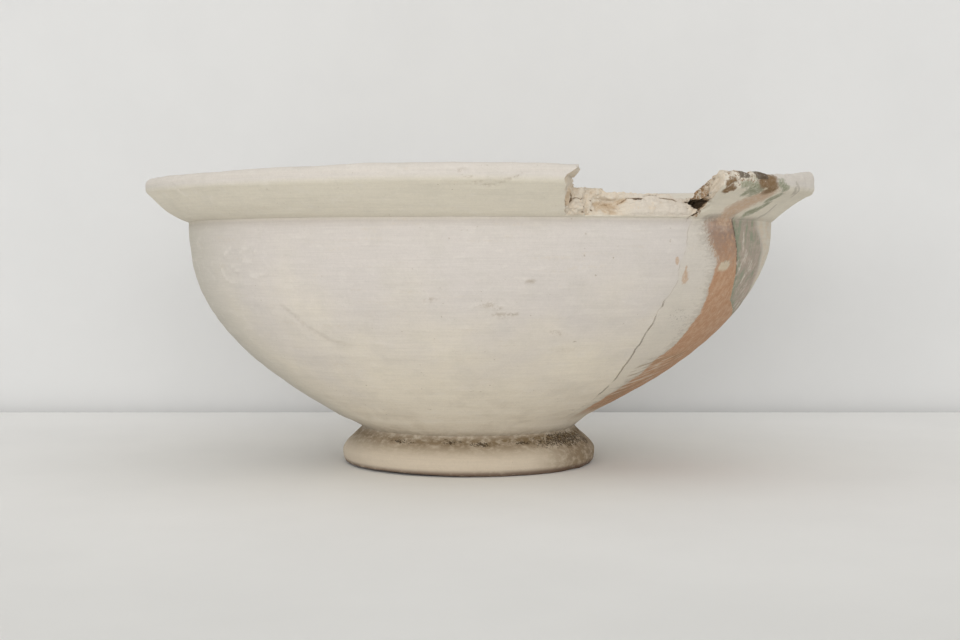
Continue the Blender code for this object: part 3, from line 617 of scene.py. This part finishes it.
FIELDS = {
    "bare": bare,
    "outside": outside.astype(float),
    "arc": arc,
    "flare": on_flare * outside,
    "lip": smooth(106.5, 109.5, height) * outside,
    # Painted shade towards the left edge of the bowl, in a darker, greener tone
    "left_side_shade": smooth(-40, -76, azimuth) * in_front * outside,
    "front": np.broadcast_to(in_front, azimuth.shape),
    "crack": np.where(outer_low, crack_side, 50.0),
    "crack_open": np.broadcast_to(groove, azimuth.shape),
    "from_orange_left": beyond(ORANGE_LEFT),
    "from_orange_right": beyond(ORANGE_RIGHT),
    "from_green_right": beyond(GREEN_RIGHT),
    "neck_dirt_and_shade": neck_dirt_and_shade,
    # Painted shade in a narrow band just under the crease, below the flare
    "crease_shade": np.exp(-((height - 94.3) / 1.5) ** 2) * outside * (bare == 0),
    "soot": soot,
    # The void is painted dark as shade in the hole
    "face_cracks_and_shade": np.maximum(face_cracks_and_shade, in_void * 3.0),
    "hollow": np.clip(hollow_stain_and_shade * 2, 0, 1) * bare,
    "slab": smooth_slab * bare,
    "end_band": end_share,
    "pit": np.clip(-crumble, 0, 1) * bare,
    "ridges": np.maximum(strokes(RIDGES, 0.8), stroke(RIM_SCRATCH, 0.7)),
    # Belly marks, and a painted shadow along the low side of the scar
    "marks_and_scar_shadow": np.maximum(strokes(BELLY_MARKS, 1.2), 0.35 * stroke([(a - 0.6, h - 0.8) for a, h in SCAR], 0.9)),
    "patch_edge": stroke(PATCH_EDGE, 0.7),
    "worn_rim": worn_rim,
    "brown": patches([
        (4.6, [(48.6, 108.0), (50.3, 107.4), (51.0, 106.0)]),
        (1.9, [(39.5, 106.9), (40.5, 107.6)]), (1.8, [(40.0, 104.6), (41.2, 104.8)]),
    ]),
    "rim_dark": patches([(2.0, [(46.5, 110.2), (48.7, 110.3)]), (1.4, [(42.2, 110.1), (43.8, 110.2)])]),
    "green": patches([
        (4.0, [(45.9, 105.8), (47.6, 104.9)]), (2.0, [(43.0, 106.8), (44.1, 107.1)]),
        (1.8, [(45.5, 103.4), (45.8, 104.6)]), (2.2, [(53.4, 107.6), (55.7, 106.1)]),
        (2.4, [(56.4, 103.2), (55.6, 101.6)]), (2.0, [(57.0, 100.0), (55.8, 98.2), (53.6, 96.9)]),
    ]),
    "peach": patches([
        (5.6, [(51.8, 103.2), (50.6, 101.6), (49.2, 99.6), (48.0, 97.6)]), (0.9, [(36.4, 81.3), (36.8, 79.9)]),
        (0.6, [(39.3, 78.6), (39.7, 76.2)]), (1.5, [(39.9, 75.6), (40.3, 73.9)]),
    ]),
    "rosy": patches([(6.0, [(70.0, 74.0), (68.5, 66.0)]), (3.0, [(43.5, 92.6), (50.4, 92.4)])]),
    "grey": patches([
        (0.8, [(59.5, 108.2), (61.3, 106.6), (63.6, 103.2)]), (1.0, [(59.5, 106.4), (61.7, 104.2)]),
        (0.8, [(61.6, 99.9), (62.1, 97.1), (60.4, 95.9)]), (1.5, [(42.5, 95.4), (46.0, 95.8), (50.0, 96.4)]), (1.0, [(54.9, 93.8), (56.6, 94.2)]),
    ]),
    "flecked": patches([
        (5.0, [(42.6, 90.1), (44.4, 87.7), (45.5, 85.3)]), (4.0, [(42.7, 61.5), (45.5, 59.5), (48.9, 56.8)]),
        (2.0, [(47.0, 80.3), (49.4, 80.9), (52.6, 80.2)]),
    ]),
    "cream": patches([(0.9, [(49.4, 105.4)]), (1.8, [(49.5, 78.5), (51.4, 79.0)])]),
    "scratched": patches([
        (4.5, [(48.5, 41.0), (56.0, 41.5), (63.0, 42.5)]), (4.5, [(52.0, 36.5), (62.0, 37.0)]),
        (4.0, [(54.5, 31.0), (61.0, 30.5)]), (3.0, [(56.5, 26.5), (60.0, 25.5)]),
    ]),
}


def skin():
    """The whole bowl as one closed mesh, with its fields as point attributes."""
    points = position.reshape(-1, 3) / MM
    poles = np.array([[FOOT_STRAY, 0, RECESS_DEPTH], [WAIST_STRAY, 0, FLOOR_HEIGHT]]) / MM
    points = np.concatenate([points, poles])
    here = np.arange(COLUMNS * ROWS).reshape(COLUMNS, ROWS)
    there = np.roll(here, -1, axis=0)
    quads = np.stack([here[:, :-1], there[:, :-1], there[:, 1:], here[:, 1:]], axis=-1).reshape(-1, 4)
    under_fan = [(COLUMNS * ROWS, int(b), int(a)) for a, b in zip(here[:, 0], there[:, 0])]
    floor_fan = [(COLUMNS * ROWS + 1, int(a), int(b)) for a, b in zip(here[:, -1], there[:, -1])]
    mesh = bpy.data.meshes.new("bowl_skin")
    mesh.from_pydata(points.tolist(), [], quads.tolist() + under_fan + floor_fan)
    for name, values in FIELDS.items():
        layer = mesh.attributes.new(name, "FLOAT", "POINT")
        layer.data.foreach_set("value", np.append(np.ravel(values), [0.0, 0.0]).astype(np.float32))
    opened = bare > 0.02
    either = np.maximum(opened, np.roll(opened, -1, axis=0))
    face_open = (either[:, :-1] & either[:, 1:]).reshape(-1)
    index = np.concatenate([face_open.astype(np.int32), np.zeros(2 * COLUMNS, np.int32)])
    mesh.materials.append(plaster_and_paint())
    mesh.materials.append(broken_plaster())
    mesh.polygons.foreach_set("material_index", index)
    mesh.shade_smooth()
    mesh.set_sharp_from_angle(angle=math.radians(52))
    thing = bpy.data.objects.new("bowl_skin", mesh)
    bpy.context.scene.collection.objects.link(thing)
    return thing


class Paint:
    """A material being put together from nodes."""

    def __init__(self, name):
        self.material = bpy.data.materials.new(name)
        self.material.use_nodes = True
        self.tree = self.material.node_tree
        self.shader = self.tree.nodes["Principled BSDF"]
        place = self.add("ShaderNodeTexCoord").outputs["Object"]
        self.mm = self.add("ShaderNodeVectorMath", {0: place, "Scale": MM}, operation="SCALE").outputs[0]

    def add(self, kind, inputs=None, **settings):
        node = self.tree.nodes.new(kind)
        for key, value in settings.items():
            setattr(node, key, value)
        for key, value in (inputs or {}).items():
            if isinstance(value, bpy.types.NodeSocket):
                self.tree.links.new(value, node.inputs[key])
            else:
                node.inputs[key].default_value = value
        return node

    def field(self, name):
        return self.add("ShaderNodeAttribute", attribute_name=name).outputs["Fac"]

    def scaled(self, scale, vector=None):
        return self.add("ShaderNodeMapping", {"Vector": vector or self.mm, "Scale": scale}).outputs[0]

    def noise(self, scale, detail=3.0, roughness=0.55, vector=None):
        inputs = {"Vector": vector or self.mm, "Scale": scale, "Detail": detail, "Roughness": roughness}
        return self.add("ShaderNodeTexNoise", inputs).outputs[0]

    def math(self, operation, first, second=0.0):
        return self.add("ShaderNodeMath", {0: first, 1: second}, operation=operation).outputs[0]

    def product(self, *values):
        total = values[0]
        for value in values[1:]:
            total = self.math("MULTIPLY", total, value)
        return total

    def step(self, value, low, high, to_low=0.0, to_high=1.0):
        inputs = {0: value, 1: low, 2: high, 3: to_low, 4: to_high}
        node = self.add("ShaderNodeMapRange", inputs, interpolation_type="SMOOTHSTEP")
        return node.outputs[0]

    def ragged(self, field, noise, amount, softness, level=0.0):
        """1 where a field passes its level, along an edge that noise makes ragged."""
        shaken = self.math("MULTIPLY_ADD", noise, amount)
        shaken.node.inputs[2].default_value = -amount / 2
        value = self.math("ADD", field, shaken)
        return self.step(value, level - softness, level + softness)

    def blend(self, share, under, over, kind="MIX"):
        node = self.add("ShaderNodeMix", data_type="RGBA", blend_type=kind)
        for socket, value in ((node.inputs[0], share), (node.inputs[6], under), (node.inputs[7], over)):
            if isinstance(value, bpy.types.NodeSocket):
                self.tree.links.new(value, socket)
            else:
                socket.default_value = value if isinstance(value, float) else (*value, 1.0)
        return node.outputs[2]

    def valued(self, colour, value):
        return self.add("ShaderNodeHueSaturation", {"Color": colour, "Value": value}).outputs[0]

    def finish(self, colour, height, strength, distance, roughness):
        bump_inputs = {"Height": height, "Strength": strength, "Distance": distance / MM}
        bump = self.add("ShaderNodeBump", bump_inputs).outputs[0]
        self.tree.links.new(colour, self.shader.inputs["Base Color"])
        self.tree.links.new(bump, self.shader.inputs["Normal"])
        self.tree.links.new(roughness, self.shader.inputs["Roughness"])
        self.shader.inputs["Specular IOR Level"].default_value = 0.25
        return self.material


# Colours, as linear red, green and blue
PINKISH = (0.630, 0.585, 0.542)
# Warm tone of the lower belly, made lighter than the upper belly as painted light
WARM_WITH_PAINTED_LIGHT = (0.745, 0.682, 0.572)
FLARE = (0.690, 0.640, 0.535)
LIP_PALE = (0.650, 0.602, 0.542)
GREENISH = (0.520, 0.490, 0.425)
FOOT_TONE = (0.535, 0.450, 0.345)
PALE = (0.760, 0.715, 0.655)
# Dirt, and also the painted shade under the crease and at the right end of the foot
DIRT_AND_SHADE = (0.205, 0.145, 0.080)
SOOT = (0.050, 0.033, 0.018)
# Painted contact shadow along the lowest millimetres of the foot
CONTACT_SHADOW = (0.120, 0.070, 0.045)
SPECK = (0.330, 0.260, 0.180)
STAIN = (0.610, 0.525, 0.410)
INSIDE = (0.680, 0.625, 0.535)
ORANGE = (0.435, 0.235, 0.125)
ORANGE_PALE = (0.520, 0.335, 0.215)
PURPLE_BROWN = (0.300, 0.205, 0.155)
SHERD_PALE = (0.620, 0.575, 0.485)
GREEN_GREY = (0.255, 0.275, 0.195)
GREEN_DEEP = (0.200, 0.235, 0.150)
BROWN_GREY = (0.370, 0.300, 0.245)
ROSY = (0.470, 0.370, 0.310)
SCRATCH_BROWN = (0.300, 0.205, 0.115)
RIM_BROWN = (0.195, 0.112, 0.045)
RIM_DARK = (0.080, 0.055, 0.035)
RIM_GREEN = (0.200, 0.220, 0.130)
PEACH = (0.520, 0.345, 0.225)
SMUDGE = (0.330, 0.290, 0.240)
CREAM = (0.580, 0.500, 0.370)
CRUMB = (0.700, 0.640, 0.540)
CRUMB_BROWN = (0.250, 0.145, 0.070)
CRUMB_OCHRE = (0.370, 0.215, 0.100)
BROKEN_PALE = (0.680, 0.605, 0.500)
BROKEN_TAN = (0.560, 0.425, 0.285)
BROKEN_WARM = (0.690, 0.590, 0.465)
BROKEN_SLAB = (0.680, 0.615, 0.530)
BROKEN_BROWN = (0.340, 0.215, 0.110)
BROKEN_LINE = (0.190, 0.115, 0.055)
BROKEN_DEEP = (0.040, 0.025, 0.012)


# How much the scratches low on the sherd rise, for a length along the bowl
SCRATCH_RISE = 0.26


def plaster_and_paint():
    """Brushed, dusty plaster with the old painted sherd, and painted light and shade in places, by the skin's fields
    and noise.
    """
    p = Paint("plaster_and_paint")
    level = p.add("ShaderNodeSeparateXYZ", {0: p.mm}).outputs[2]
    broad = p.noise(0.028)
    mottle = p.noise(0.10, 5.0, 0.6)
    mottle_two = p.noise(0.16, 4.0, 0.6, p.scaled((1.0, 1.0, 2.2)))
    grit = p.noise(0.85, 4.0, 0.65)
    fine_grit = p.noise(1.0, 4.0, 0.75)
    grain = p.noise(2.8, 2.0)
    streaks = p.noise(1.0, 3.0, 0.6, p.scaled((0.09, 0.09, 1.05)))
    hairs = p.noise(1.0, 2.0, 0.6, p.scaled((0.05, 0.05, 2.3)))
    scuffs = p.noise(1.0, 2.0, 0.5, p.scaled((0.05, 0.05, 0.5)))
    dry_brush = p.noise(1.0, 4.0, 0.75, p.scaled((0.24, 0.24, 1.10)))

    # Warm below and pinkish above; the lighter value below is painted light on the downward-facing lower belly
    wandering = p.math("MULTIPLY_ADD", broad, 80.0)
    wandering.node.inputs[2].default_value = -40.0
    upper = p.step(p.math("ADD", level, wandering), 30.0, 80.0)
    colour = p.blend(upper, WARM_WITH_PAINTED_LIGHT, PINKISH)
    # Painted shade towards the left edge, in a darker, greener tone
    colour = p.blend(p.field("left_side_shade"), colour, GREENISH)
    colour = p.blend(p.field("flare"), colour, FLARE)
    colour = p.blend(p.field("lip"), colour, LIP_PALE)
    outside_share = p.field("outside")
    colour = p.blend(outside_share, INSIDE, colour)
    colour = p.blend(p.product(p.step(mottle, 0.46, 0.70), 0.18), colour, GREENISH)
    colour = p.blend(p.product(p.step(mottle_two, 0.54, 0.68), 0.18), colour, PALE)
    colour = p.blend(p.product(p.step(level, 17.0, 9.0), 0.85), colour, FOOT_TONE)
    # Painted shade just under the crease
    colour = p.blend(p.product(p.field("crease_shade"), 0.20), colour, DIRT_AND_SHADE)
    low_stain = p.product(p.step(level, 42.0, 18.0), p.step(mottle, 0.44, 0.62), 0.22)
    colour = p.blend(low_stain, colour, STAIN)
    specks = p.product(p.step(p.noise(0.80, 1.0), 0.74, 0.78), p.step(p.noise(0.06), 0.48, 0.58), 0.5)
    colour = p.blend(specks, colour, SPECK)
    colour = p.blend(p.product(p.step(scuffs, 0.60, 0.70), p.step(grit, 0.45, 0.6), 0.22), colour, STAIN)
    # Belly marks, and the painted shadow beside the scar
    marks_and_scar_shadow = p.product(p.field("marks_and_scar_shadow"), p.step(grit, 0.42, 0.58), 0.55)
    colour = p.blend(marks_and_scar_shadow, colour, SPECK)

    # The painted sherd
    left = p.field("from_orange_left")
    right = p.field("from_orange_right")
    green_right = p.field("from_green_right")
    sherd_level = p.product(p.step(level, 97.0, 94.0), p.step(level, 19.0, 26.0), p.field("front"))
    edge_noise = p.noise(0.42, 5.0, 0.7)
    sherd_pale = p.product(p.ragged(p.field("crack"), edge_noise, 2.0, 1.0), sherd_level, 0.45)
    colour = p.blend(sherd_pale, colour, SHERD_PALE)
    near_orange = p.product(p.ragged(left, dry_brush, 30.0, 3.0, -3.0), sherd_level, 0.30)
    colour = p.blend(near_orange, colour, SMUDGE)
    orange_noise = p.noise(0.5, 5.0, 0.7, p.scaled((1.0, 1.0, 0.6)))
    orange = p.blend(p.step(orange_noise, 0.36, 0.66), ORANGE, ORANGE_PALE)
    top_of_orange = p.step(level, 74.0, 92.0)
    orange = p.blend(p.product(top_of_orange, p.step(edge_noise, 0.26, 0.56)), orange, PURPLE_BROWN)
    residue = p.product(p.step(grit, 0.60, 0.70), 0.35)
    orange = p.blend(residue, orange, SHERD_PALE)
    before_right = p.math("MULTIPLY", right, -1.0)
    brushed_edge = p.math("ADD", p.product(dry_brush, 0.12), p.product(edge_noise, 0.88))
    sharp_left = p.product(p.ragged(left, brushed_edge, 6.5, 0.9), p.step(level, 84.0, 76.0))
    speckled_left = p.product(p.ragged(left, fine_grit, 17.0, 2.5, 1.0), p.step(level, 76.0, 84.0))
    left_share = p.math("ADD", sharp_left, speckled_left)
    in_orange = p.product(
        left_share, p.ragged(before_right, edge_noise, 1.5, 0.3), sherd_level
    )
    colour = p.blend(p.product(in_orange, 0.96), colour, orange)
    upright = p.noise(1.0, 5.0, 0.7, p.scaled((0.24, 0.24, 0.07)))
    greens = p.blend(p.step(upright, 0.38, 0.50), GREEN_GREY, BROWN_GREY)
    greens = p.blend(p.step(upright, 0.54, 0.64), greens, SHERD_PALE)
    greens = p.blend(p.product(p.step(grit, 0.44, 0.62), 0.35), greens, GREEN_GREY)
    greens = p.blend(p.product(p.step(mottle_two, 0.48, 0.60), 0.45), greens, ROSY)
    greens = p.blend(p.product(p.step(right, 5.0, 1.0), p.step(edge_noise, 0.36, 0.54), 0.75), greens, GREEN_DEEP)
    in_green = p.product(p.ragged(right, edge_noise, 1.5, 0.3), p.step(green_right, 4.0, -5.0), sherd_level)
    colour = p.blend(p.product(in_green, 0.88), colour, greens)
    far_side = p.product(p.step(green_right, -3.0, 4.0), sherd_level, 0.8)
    far_tone = p.blend(p.step(mottle_two, 0.42, 0.60), SHERD_PALE, STAIN)
    colour = p.blend(far_side, colour, far_tone)
    beside_right = p.step(p.math("ABSOLUTE", right, 0.0), 0.75, 0.1)
    edge_line = p.product(beside_right, sherd_level, p.step(level, 68.0, 84.0), p.step(edge_noise, 0.38, 0.56), 0.7)
    colour = p.blend(edge_line, colour, RIM_DARK)
    sheared = p.math("SUBTRACT", level, p.product(p.field("arc"), SCRATCH_RISE))
    flat = p.add("ShaderNodeCombineXYZ", {0: p.field("arc"), 1: sheared}).outputs[0]
    rubbed = p.noise(1.0, 4.0, 0.65, p.scaled((0.045, 0.80, 1.0), flat))
    in_scratched = p.ragged(p.field("scratched"), edge_noise, 0.9, 0.25, 0.1)
    pale_rubbed = p.product(in_scratched, p.step(rubbed, 0.46, 0.38), 0.8)
    colour = p.blend(pale_rubbed, colour, SHERD_PALE)
    scratch = p.product(in_scratched, p.step(rubbed, 0.50, 0.60))
    colour = p.blend(p.product(scratch, 0.68), colour, SCRATCH_BROWN)

    # The sherd's rim and the small marks
    colour = p.blend(p.product(p.step(p.field("rosy"), 0.0, 0.9), p.step(mottle_two, 0.36, 0.6), 0.6), colour, ROSY)
    worn = p.ragged(p.field("worn_rim"), edge_noise, 1.1, 0.12, 0.15)
    crumbs = p.blend(p.step(fine_grit, 0.40, 0.50), CRUMB_BROWN, CRUMB)
    colour = p.blend(p.product(worn, 0.9), colour, crumbs)
    rim_noise = p.noise(0.75, 5.0, 0.72)
    for name, tone, share, faded, uneven in (
        ("grey", SMUDGE, 0.55, 0.4, 1.7),
        ("peach", PEACH, 0.80, 0.35, 2.4),
        ("green", RIM_GREEN, 0.82, 0.45, 2.4),
        ("brown", RIM_BROWN, 0.96, 0.12, 1.0),
        ("rim_dark", RIM_DARK, 0.85, 0.1, 0.6),
        ("cream", CREAM, 0.90, 0.2, 1.2),
    ):
        mask = p.ragged(p.field(name), rim_noise, uneven, 0.32, 0.08)
        rubbed_off = p.step(fine_grit, 0.70, 0.60)
        half = tuple((1 - faded) * c + faded * k for c, k in zip(tone, SHERD_PALE))
        toned = p.blend(p.step(rim_noise, 0.42, 0.62), tone, half)
        colour = p.blend(p.product(mask, rubbed_off, share), colour, toned)
    colour = p.blend(p.product(p.field("patch_edge"), p.step(grit, 0.42, 0.55), 0.5), colour, SPECK)
    colour = p.blend(p.product(p.field("ridges"), 0.55), colour, PALE)
    flecks = p.product(p.step(p.field("flecked"), -0.2, 0.8), p.step(fine_grit, 0.54, 0.62), 0.55)
    colour = p.blend(flecks, colour, SMUDGE)

    # The joint, the groove of the foot with its dirt and painted shade, its soot, and a painted contact shadow along
    # the foot's lower edge
    from_crack = p.math("ABSOLUTE", p.field("crack"), 0.0)
    opened = p.field("crack_open")
    halo = p.product(p.step(from_crack, 0.9, 0.1), opened, 0.14)
    colour = p.blend(halo, colour, DIRT_AND_SHADE)
    line = p.product(p.step(from_crack, 0.18, 0.05), p.step(opened, 0.06, 0.60))
    colour = p.blend(p.product(line, 0.9), colour, BROKEN_DEEP)
    hair = p.product(p.step(from_crack, 0.35, 0.1), p.step(p.noise(0.25), 0.42, 0.56), sherd_level)
    colour = p.blend(p.product(hair, 0.30), colour, SPECK)
    dirt_noise = p.noise(0.30, 5.0, 0.65, p.scaled((1.0, 1.0, 1.8)))
    # Dirt round the neck of the foot, with painted shade at its right end
    dirt_and_shade = p.product(p.field("neck_dirt_and_shade"), p.step(dirt_noise, 0.32, 0.58, 0.55, 1.15))
    colour = p.blend(p.product(dirt_and_shade, 0.90), colour, DIRT_AND_SHADE)
    sooty = p.step(p.field("soot"), -0.1, 0.8)
    lifted = p.math("ADD", p.noise(1.15, 3.0, 0.75), p.product(sooty, 0.20))
    soot = p.product(p.step(lifted, 0.62, 0.70), p.step(sooty, 0.0, 0.3))
    colour = p.blend(p.product(soot, 0.85), colour, SOOT)
    # Painted contact shadow along the lowest few mm of the outside, where the foot meets the table
    painted_contact_shadow = p.product(p.step(level, 3.0, 0.9), outside_share, p.step(dirt_noise, 0.30, 0.50, 0.6, 1.0))
    colour = p.blend(p.product(painted_contact_shadow, 0.85), colour, CONTACT_SHADOW)
    # Dark cracks and painted shade of the broken face, where they reach the skin
    face_cracks_and_shade = p.step(p.field("face_cracks_and_shade"), 0.5, 0.9)
    colour = p.blend(p.product(face_cracks_and_shade, 0.8), colour, BROKEN_LINE)
    tone = p.math("ADD", p.step(streaks, 0.3, 0.7, 0.983, 1.010), p.step(grain, 0.3, 0.7, -0.02, 0.02))
    tone = p.math("ADD", tone, p.step(hairs, 0.3, 0.7, -0.02, 0.02))
    tone = p.math("ADD", tone, p.step(fine_grit, 0.3, 0.7, -0.022, 0.022))
    colour = p.valued(colour, tone)

    relief = p.math("ADD", p.product(streaks, 0.32), p.product(grit, 0.42))
    relief = p.math("ADD", relief, p.product(grain, 0.12))
    relief = p.math("ADD", relief, p.product(hairs, 0.16))
    relief = p.math("SUBTRACT", relief, p.product(specks, 0.3))
    return p.finish(colour, relief, 0.55, 0.32, p.step(grit, 0.3, 0.7, 0.72, 0.92))


def broken_plaster():
    """The crumbling face where the rim was lost, stained brown in its pits and cracks, with painted shade in its
    void, its gaps and along its top edge at the right.
    """
    p = Paint("broken_plaster")
    lumps = p.noise(0.34, 5.0, 0.65)
    grit = p.noise(1.3, 4.0, 0.7)
    fine = p.noise(0.95, 4.0, 0.75)
    grain = p.noise(4.0, 2.0, 0.6)
    colour = p.blend(p.step(lumps, 0.40, 0.58), BROKEN_WARM, BROKEN_PALE)
    colour = p.blend(p.product(p.field("hollow"), p.step(lumps, 0.30, 0.52), 0.85), colour, BROKEN_TAN)
    colour = p.blend(p.product(p.field("slab"), p.step(lumps, 0.30, 0.46), 0.85), colour, BROKEN_SLAB)
    crumbs = p.blend(p.step(fine, 0.47, 0.53), CRUMB_BROWN, CRUMB)
    ochre = p.product(p.step(lumps, 0.44, 0.52), p.step(fine, 0.62, 0.52), 0.9)
    crumbs = p.blend(ochre, crumbs, CRUMB_OCHRE)
    crumbs = p.blend(p.step(fine, 0.44, 0.38), crumbs, BROKEN_LINE)
    colour = p.blend(p.product(p.field("end_band"), 0.95), colour, crumbs)
    pits = p.product(p.step(p.field("pit"), 0.3, 0.9), p.step(grit, 0.40, 0.60))
    colour = p.blend(p.product(pits, 0.65), colour, BROKEN_BROWN)
    pores = p.product(p.step(fine, 0.66, 0.72), p.step(lumps, 0.60, 0.46), 0.7)
    colour = p.blend(pores, colour, BROKEN_BROWN)
    # Dark cracks, and painted shade in the gaps, the void and along the top edge
    lines = p.ragged(p.field("face_cracks_and_shade"), grit, 0.45, 0.14, 0.34)
    colour = p.blend(p.product(lines, 0.85), colour, BROKEN_LINE)
    deep = p.ragged(p.field("face_cracks_and_shade"), grit, 0.5, 0.15, 0.74)
    colour = p.blend(deep, colour, BROKEN_DEEP)
    colour = p.valued(colour, p.step(grain, 0.3, 0.7, 0.94, 1.05))
    relief = p.math("ADD", p.product(lumps, 0.5), p.product(grit, 0.5))
    return p.finish(colour, relief, 0.8, 0.7, p.step(grit, 0.3, 0.7, 0.8, 0.95))


bowl = skin()
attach(bowl, "root")
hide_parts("bowl")

# The table with painted light towards its back, the plain wall, the camera and the light
WALL_BEHIND = 0.186
FLOOR_REACH = 3.0
TABLE_GAP = 0.007
TABLE_DROP = 0.020
TABLE_COLOUR = (0.745, 0.738, 0.712)
# Lighter table tone near the wall: painted light over the shade there
TABLE_BACK_PAINTED_LIGHT = (0.860, 0.852, 0.830)
TABLE_FADE = (-350.0, -60.0)
WALL_COLOUR = (0.722, 0.720, 0.710)


def plain(name, tone, painted_light_back_tone):
    """A matte surface, in one tone near the viewer and another at the back; a lighter back tone is painted light."""
    p = Paint(name)
    cloudy = p.noise(0.012, 4.0, 0.6)
    place = p.add("ShaderNodeSeparateXYZ", {0: p.mm}).outputs[1]
    colour = p.blend(p.step(place, *TABLE_FADE), tone, painted_light_back_tone)
    colour = p.valued(colour, p.step(cloudy, 0.3, 0.7, 0.985, 1.015))
    return p.finish(colour, p.noise(0.9, 3.0), 0.15, 0.1, p.step(cloudy, 0.3, 0.7, 0.75, 0.85))


def sheet(name, line, material):
    """A surface right across the view, along a line of (back, up) points."""
    corners = [(side * FLOOR_REACH, back, up) for back, up in line for side in (-1, 1)]
    faces = [(2 * step, 2 * step + 1, 2 * step + 3, 2 * step + 2) for step in range(len(line) - 1)]
    mesh = bpy.data.meshes.new(name)
    mesh.from_pydata(corners, [], faces)
    mesh.materials.append(material)
    thing = bpy.data.objects.new(name, mesh)
    bpy.context.scene.collection.objects.link(thing)


table_back = WALL_BEHIND - TABLE_GAP
table_line = [(-FLOOR_REACH, 0), (table_back, 0), (table_back, -TABLE_DROP), (WALL_BEHIND, -TABLE_DROP)]
wall_line = [(WALL_BEHIND, -TABLE_DROP), (WALL_BEHIND, FLOOR_REACH)]
sheet("table_top", table_line, plain("table_paint", TABLE_COLOUR, TABLE_BACK_PAINTED_LIGHT))
sheet("wall_behind", wall_line, plain("wall_paint", WALL_COLOUR, WALL_COLOUR))

CAMERA_PLACE = (0.0, -0.60046, 0.083)
CAMERA_DIP = math.radians(2.5427)
lens = bpy.data.cameras.new("camera")
lens.lens = 56.0
lens.sensor_width = 36.0
camera = bpy.data.objects.new("camera", lens)
camera.location = CAMERA_PLACE
camera.rotation_euler = (math.pi / 2 - CAMERA_DIP, 0, 0)
bpy.context.scene.collection.objects.link(camera)
bpy.context.scene.camera = camera


def softbox(name, place, aim, size, power, tint=(1.0, 1.0, 1.0)):
    lamp = bpy.data.lights.new(name, "AREA")
    lamp.shape = "RECTANGLE"
    lamp.size, lamp.size_y = size
    lamp.energy = power
    lamp.color = tint
    thing = bpy.data.objects.new(name, lamp)
    thing.location = place
    thing.rotation_euler = (Vector(aim) - Vector(place)).to_track_quat("-Z", "Y").to_euler()
    bpy.context.scene.collection.objects.link(thing)


softbox("window_light", (-0.4, -2.5, 0.5), (0, 0, 0.06), (2.8, 0.9), 24.2)
world = bpy.data.worlds.new("soft_room")
world.use_nodes = True
world.node_tree.nodes["Background"].inputs["Color"].default_value = (1.0, 1.0, 1.0, 1.0)
world.node_tree.nodes["Background"].inputs["Strength"].default_value = 0.82
bpy.context.scene.world = world
bpy.context.scene.view_settings.view_transform = "Standard"
